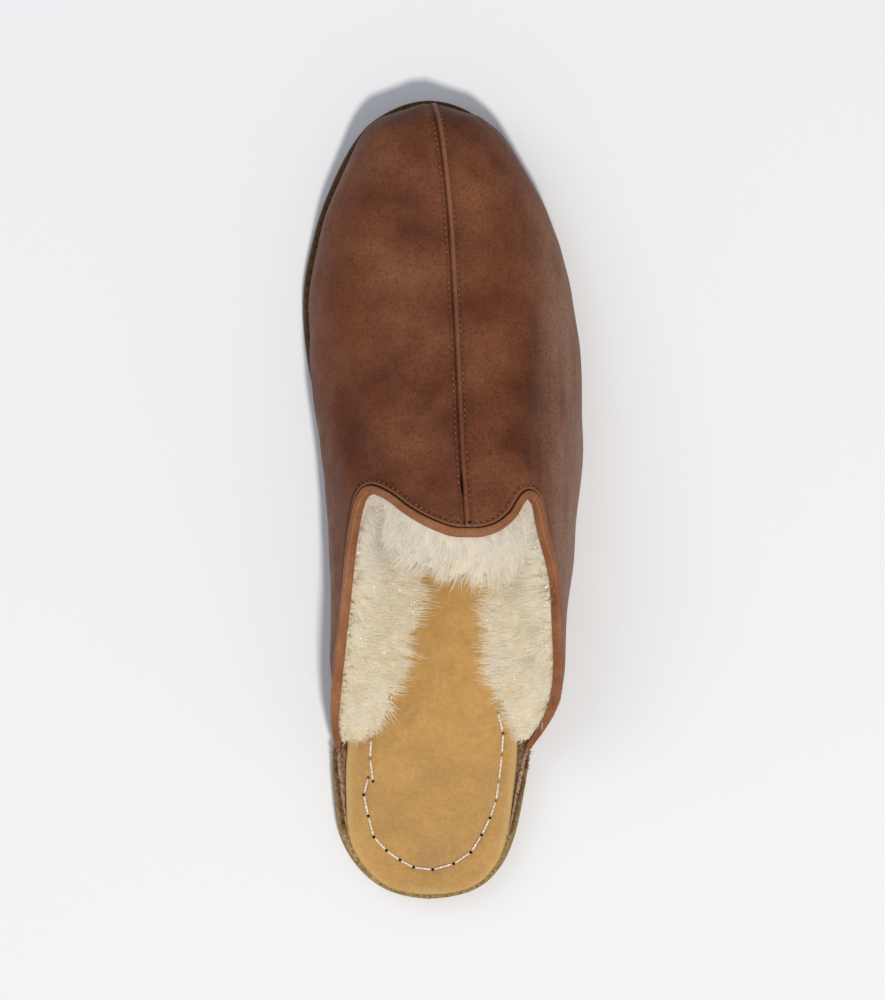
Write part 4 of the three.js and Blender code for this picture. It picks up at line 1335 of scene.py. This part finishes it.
def cut_sole_leather():
    """Thick sole leather, cut and left raw: olive-brown, fibrous along the cut, drier and paler
    round the heel."""
    material, tree, place = new_material("cut_sole_leather")
    stretched = add(tree, "ShaderNodeMapping", {"Scale": (1, 1, 4), "Vector": place})
    fibres = add(tree, "ShaderNodeTexNoise",
                 {"Scale": per_mm(1.4), "Detail": 7, "Roughness": 0.75, "Vector": stretched})
    dark, dry = (
        add(tree, "ShaderNodeValToRGB", {"stops": stops, "Fac": fibres})
        for stops in (
            ((0.32, "#3a2a1a"), (0.48, "#5b452e"), (0.62, "#775d3f"), (0.75, "#917550")),
            ((0.32, "#5e4a2d"), (0.48, "#957a4d"), (0.6, "#b4976a"), (0.72, "#cdb48a")),
        )
    )
    along = add(tree, "ShaderNodeSeparateXYZ", {0: place}).outputs["Y"]
    to_heel = add(tree, "ShaderNodeMapRange", {"From Min": -0.06, "From Max": -0.11, "Value": along})
    colours = add(tree, "ShaderNodeMix", {"data_type": "RGBA", SHARE: to_heel, UNDER: dark, OVER: dry})
    rough = add(tree, "ShaderNodeBump", {"Strength": 0.7, "Distance": 0.0007, "Height": fibres})
    return shaded(material, {"Specular IOR Level": 0.25, "Roughness": 0.82, "Base Color": colours,
                             "Normal": rough})


def shearling_wool(name, as_locks):
    """Sheared lamb's wool: cream, matt and deep, a little yellow in the shade between locks. It
    takes the light as one coat, because fine fibres let it through, and its tips are thin."""
    material, tree, place = new_material(name)
    clumps = add(tree, "ShaderNodeTexNoise",
                 {"Scale": per_mm(11), "Detail": 4, "Roughness": 0.6, "Vector": place})
    colours = add(tree, "ShaderNodeValToRGB",
                  {"stops": ((0.3, "#dccba9"), (0.5, "#e2d4b8"), (0.7, "#e6dcc8")), "Fac": clumps})
    along = add(tree, "ShaderNodeSeparateXYZ", {0: place}).outputs["Y"]
    throat = add(tree, "ShaderNodeMapRange",
                 {"From Min": -0.036, "From Max": -0.016, "To Max": 0.75, "Value": along})
    clean = add(tree, "ShaderNodeMix",
                {"data_type": "RGBA", SHARE: throat, UNDER: colours, OVER: linear("#dcd5c8")})
    coat = add(tree, "ShaderNodeAttribute", {"attribute_name": "coat"}).outputs["Vector"]
    settings = {"Roughness": 0.95, "Specular IOR Level": 0.05, "Base Color": clean, "Normal": coat}
    if as_locks:
        tip = add(tree, "ShaderNodeAttribute", {"attribute_name": "tip"}).outputs["Fac"]
        settings["Alpha"] = add(tree, "ShaderNodeMapRange",
                                {"From Min": 0.22, "To Min": 1.0, "To Max": 0.02, "Value": tip})
    material.cycles.use_bump_map_correction = False
    return shaded(material, settings)


def two_toned(name, size, detail, stops, settings):
    """Plain material whose colour wavers between two tones, at a size in millimetres."""
    material, tree, place = new_material(name)
    change = add(tree, "ShaderNodeTexNoise", {"Scale": per_mm(size), "Detail": detail, "Vector": place})
    colours = add(tree, "ShaderNodeValToRGB", {"stops": stops, "Fac": change})
    return shaded(material, {**settings, "Base Color": colours})


# Wool locks by where they grow: the half, the turns of the collar and the levels of the wool
# that they follow, how many, how long, and which way they lean.
LOCK_ROWS = (
    ("wool_inner_side", "inner", 0, 58, 0, 53, 900, 9, "down"),
    ("wool_inner_fringe", "inner", 0, 58, 0, 53, 700, 12, "down"),
    ("wool_inner_apron", "inner", 22, 52, 34, 53, 260, 9, "down"),
    ("wool_outer_side", "outer", 0, 60, 0, 53, 900, 9, "down"),
    ("wool_outer_fringe", "outer", 0, 60, 0, 53, 700, 12, "down"),
    ("wool_outer_apron", "outer", 22, 55, 34, 53, 260, 9, "down"),
    ("wool_inner_horn", "inner", 46, 72, 0, 53, 580, 10, "down"),
    ("wool_outer_horn", "outer", 50, 72, 0, 53, 320, 10, "down"),
    ("wool_brow", "both", 60, 91, 0, 53, 1000, 9, "down"),
    ("wool_inner_rim", "inner", 0, 60, 0, 6, 350, 4.5, "up"),
    ("wool_outer_rim", "outer", 0, 62, 0, 6, 450, 5, "up"),
    ("wool_inner_end", "inner", 0, 13, 0, 40, 90, 9, "back"),
    ("wool_outer_end", "outer", 0, 13, 0, 40, 90, 13, "back"),
)
LOCKS_FORWARD = 22
APRON_PLACE = -31
APRON_SPAN = 11
APRON_REACH = 0.5
SHORT_FROM = -92
SHORT_TO = -66
ROOT_DEPTH = 1.1
TIP_HEIGHT = 1.4


def wool_spots(ribs, count, first_level, last_level):
    """Random spots over the free face of some sections, evenly by area but thicker at the top."""
    free = wool_frees[ribs]
    a, b, c = free[:-1, :-1], free[1:, :-1], free[:-1, 1:]
    area = np.linalg.norm(np.cross(b - a, c - a), axis=-1)
    levels = np.arange(area.shape[1])[None, :]
    weight = area * (1 + 1.5 * np.exp(-levels / 9)) * (a[..., 1] < LOCKS_FORWARD)
    weight = weight * (levels >= first_level) * (levels < last_level)
    chosen = rng.choice(area.size, count, p=(weight / weight.sum()).ravel())
    i, j = np.unravel_index(chosen, area.shape)
    u, v = rng.random(count)[:, None], rng.random(count)[:, None]
    point = mix(mix(free[i, j], free[i + 1, j], u), mix(free[i, j + 1], free[i + 1, j + 1], u), v)
    return point, wool_out[ribs][i, j], wool_down[ribs][i, j], wool_ribs[ribs[i]]


def combed(point):
    """Slow drift of the locks to one side and the other, as a hand leaves them."""
    x, y, z = point[:, 0], point[:, 1], point[:, 2]
    return 0.22 * np.stack([
        np.sin(y / 5.3 + z / 7) + 0.6 * np.sin(x / 4.1 + y / 9),
        np.sin(x / 6.1 - z / 5) + 0.6 * np.sin(y / 3.7 + 1),
        0.5 * np.sin(x / 5.7 + y / 6.3),
    ], -1)


def make_locks(template, material):
    first_turns = np.degrees(turns[wool_ribs, 0])
    halves = {"inner": wool_ribs < half_count, "outer": wool_ribs >= half_count, "both": wool_ribs >= 0}
    for name, half, low, high, first, last, count, reach, lean in LOCK_ROWS:
        ribs = np.nonzero((first_turns >= low) & (first_turns < high) & halves[half])[0]
        point, out, down, rib = wool_spots(ribs, count, first, last)
        drift = combed(point) + rng.normal(0, 0.16, (count, 3))
        over = past[rib]
        if lean == "up":
            forward = unit(over * 0.9 - out * 0.4 + np.array([0, 0, 0.3]) + drift)
            point = point - over * 2
        elif lean == "back":
            along = -edge_run[rib] * np.sign(edge_run[rib][:, 1:2])
            forward = unit(along - over * 0.15 + np.array([0, 0, 0.15]) + drift)
        else:
            forward = unit(out * 0.3 + down * 0.85 + np.array([0, -0.2, 0]) + drift)
        to_tail = smooth((point[:, 1] - SHORT_FROM) / (SHORT_TO - SHORT_FROM))
        length = reach * rng.uniform(0.7, 1.2, count) * mix(0.5, 1, to_tail)
        length *= 1 + APRON_REACH * bump(point[:, 1], APRON_PLACE, APRON_SPAN)
        lowest = (insole_top_under(point[:, 1]) + TIP_HEIGHT - point[:, 2]) / length
        forward[:, 2] = np.maximum(forward[:, 2], np.clip(lowest, -1, 0.5))
        upward = unit(np.array([0, 0, 1]) + rng.normal(0, 0.3, (count, 3)))
        coat = unit(out * COAT_OUT + np.array([0, 0, COAT_UP]) + rng.normal(0, 0.1, (count, 3)))
        locks = set_on_points(name, template, point - out * ROOT_DEPTH, unit(forward), upward, length, 1,
                              0.35, material, "shearling", coat)
        locks.visible_shadow = False
        locks.visible_diffuse = False


# Fibres that stand out of the tails: from and to as shares of the length, how many, how long
FUZZ_FROM = 0.085
FUZZ_TO = 0.185
FUZZ_COUNT = 120
FUZZ_LENGTH = 2


def make_tail_fuzz(template, material):
    at = share_along(face[:, 0, 1])
    for half, chosen in HALVES.items():
        ribs = np.nonzero(chosen & (at > FUZZ_FROM) & (at < FUZZ_TO))[0]
        picked = rng.choice(ribs, FUZZ_COUNT)
        level = rng.integers(0, WALL_LEVELS // 2, FUZZ_COUNT)
        stray = rng.normal(0, 0.4, (FUZZ_COUNT, 3))
        forward = unit(normals[picked, level] * 0.5 + np.array([0, -0.3, 0.5]) + stray)
        set_on_points(f"tail_fibres_{half}", template, face[picked, level], forward, UP,
                      FUZZ_LENGTH * rng.uniform(0.5, 1.2, FUZZ_COUNT), 0.5, 0.3, material, "upper_leather")


def make_insole_stitches(thread_material):
    for label, path in (("start", STITCH_PATH), ("round", STITCH_ROUND)):
        knots = np.array(path, float)
        middles = (knots[:-1] + knots[1:]) / 2
        run = np.pad(np.diff(knots, axis=0), ((0, 0), (0, 1)))
        top = insole_top_under(middles[:, 1:]) + 0.1
        set_on_points(f"insole_thread_{label}", thread, np.hstack([middles, top]), unit(run), UP,
                      np.linalg.norm(run, axis=1) * THREAD_SHARE, WAXED_THREAD, 0.08, thread_material,
                      "insole_leather")
        ends = np.hstack([knots, insole_top_under(knots[:, 1:]) - 0.32])
        set_on_points(f"insole_holes_{label}", hole, ends, (1, 0, 0), UP, AWL_HOLE, AWL_HOLE, 0.1,
                      hole_dark, "insole_leather")


def machine_stitches(row, half, line, looks, thread_material):
    """Stitches along a line that looks some way at each point, with a hole between each two."""
    spots, forward, index = resample(line, SEAM_PITCH)
    upward = looks[index.astype(int)]
    set_on_points(f"{row}_thread_{half}", thread, spots + upward * 0.08, forward, upward, SEAM_STITCH,
                  SEAM_GIRTH, 0.1, thread_material, "upper_leather")
    gaps = spots + forward * SEAM_PITCH / 2 - upward * 0.05
    set_on_points(f"{row}_holes_{half}", hole, gaps, forward, upward, *NEEDLE_HOLE, 0.1, hole_dark,
                  "upper_leather")


UNDER_COLLAR = 8


def make_upper_stitches(thread_material):
    first = COLLAR_LEVELS - UNDER_COLLAR
    ends = {"inner": half_count - len(SEAM_OFFSETS) + SEAM_OFFSETS.index(SEAM_ROWS[0]),
            "outer": half_count + len(SEAM_OFFSETS) - 1 - SEAM_OFFSETS.index(SEAM_ROWS[1])}
    for half, rib in ends.items():
        machine_stitches("seam", half, leather[rib, first:-1], normals[rib, first:], thread_material)
    points, looks = along_rib(STITCH_LINE)
    for half, chosen in HALVES.items():
        kept = chosen & (rib_reach > STITCHED_FROM)
        machine_stitches("collar", half, points[kept], looks[kept], thread_material)


# Studio: each light's name, place and width in metres, power and colour
LIGHTS = (
    ("key", (0.34, -0.8, 2.5), 0.26, 44, "#fff9f0"),
    ("fill", (-1.4, 0.9, 2.2), 2.2, 13, "#f4f7ff"),
)
SKY_COLOUR = "#eef2f8"
SKY_STRENGTH = 0.39
FLOOR_SIZE = 6


def make_light(name, place, size, power, colour):
    data = bpy.data.lights.new(name, "AREA")
    data.shape = "DISK"
    data.size = size
    data.energy = power
    data.color = linear(colour)[:3]
    light = new_object(name, data)
    light.location = place
    light.rotation_euler = (-Vector(place)).to_track_quat("-Z", "Y").to_euler()


def make_studio():
    """Matt pale sweep under a small warm light and a wide cool one."""
    bpy.ops.mesh.primitive_plane_add(size=FLOOR_SIZE, location=(0, 0, 0))
    floor = bpy.context.object
    floor.name = "studio_floor"
    settings = {"Roughness": 0.9, "Specular IOR Level": 0.1, "Base Color": linear("#eef0f4")}
    floor.data.materials.append(shaded(new_material("pale_floor")[0], settings))
    world = bpy.data.worlds.new("studio")
    world.use_nodes = True
    background = world.node_tree.nodes["Background"].inputs
    background["Color"].default_value = linear(SKY_COLOUR)
    background["Strength"].default_value = SKY_STRENGTH
    bpy.context.scene.world = world
    for light in LIGHTS:
        make_light(*light)


def make_camera():
    data = bpy.data.cameras.new("camera")
    data.sensor_fit = "VERTICAL"
    data.sensor_height = SENSOR
    data.lens = SENSOR * CAMERA_DISTANCE / PICTURE_HEIGHT
    data.clip_end = 20
    camera = new_object("camera", data)
    camera.location = (0, 0, CAMERA_DISTANCE)
    bpy.context.scene.camera = camera
    bpy.context.scene.view_settings.view_transform = "Standard"


make_studio()
make_camera()

SETTING = setting_tree()
thread = template_object("thread_pattern", *thread_template())
hole = template_object("hole_pattern", *hole_template())

# White linen thread pulled through wax: off-white, with the sheen of wax
waxed_linen_thread = two_toned(
    "waxed_linen_thread", 0.9, 3, ((0.35, "#cfc4b2"), (0.6, "#f3efe8")),
    {"Roughness": 0.5, "Specular IOR Level": 0.45},
)
# Fine machine thread, brown, a little lighter than the leather that it sinks into
brown_polyester_thread = two_toned(
    "brown_polyester_thread", 6, 2, ((0.35, "#7a4c32"), (0.65, "#b58059")), {"Roughness": 0.45},
)
# Inside of an awl's hole, painted near black: painted shade of the hole's depth
hole_dark = two_toned(
    "pierced_hole", 2, 2, ((0.3, "#0f0805"), (0.7, "#24150c")),
    {"Roughness": 0.9, "Specular IOR Level": 0.1},
)

make_upper()
binding, binding_wear_and_highlight = binding_loops()
lofted("collar_binding_strip", binding, skived_binding_leather(), "collar_binding",
       {"rubbed": binding_wear_and_highlight})
lofted("sole_leather", outsole_loops(), cut_sole_leather(), "outsole", {})
insole = insole_loops()
lofted("insole_leather", insole, vegetable_tanned_insole(), "insole",
       {"rim": insole_rim(insole)})
make_fleece()
make_insole_stitches(waxed_linen_thread)
make_upper_stitches(brown_polyester_thread)
lock = template_object("lock_pattern", *lock_template())
make_locks(lock, shearling_wool("shearling_locks", True))
# Fibres of the leather's raw flesh side, dry and brown, along the skived tails
flesh_fibres = two_toned(
    "raw_leather_fibres", 2.5, 3, ((0.35, "#5b3d26"), (0.65, "#a5825a")),
    {"Roughness": 0.9, "Specular IOR Level": 0.15},
)
make_tail_fuzz(lock, flesh_fibres)
bpy.data.objects.remove(lock)
bpy.data.objects.remove(thread)
bpy.data.objects.remove(hole)

bpy.context.view_layer.update()
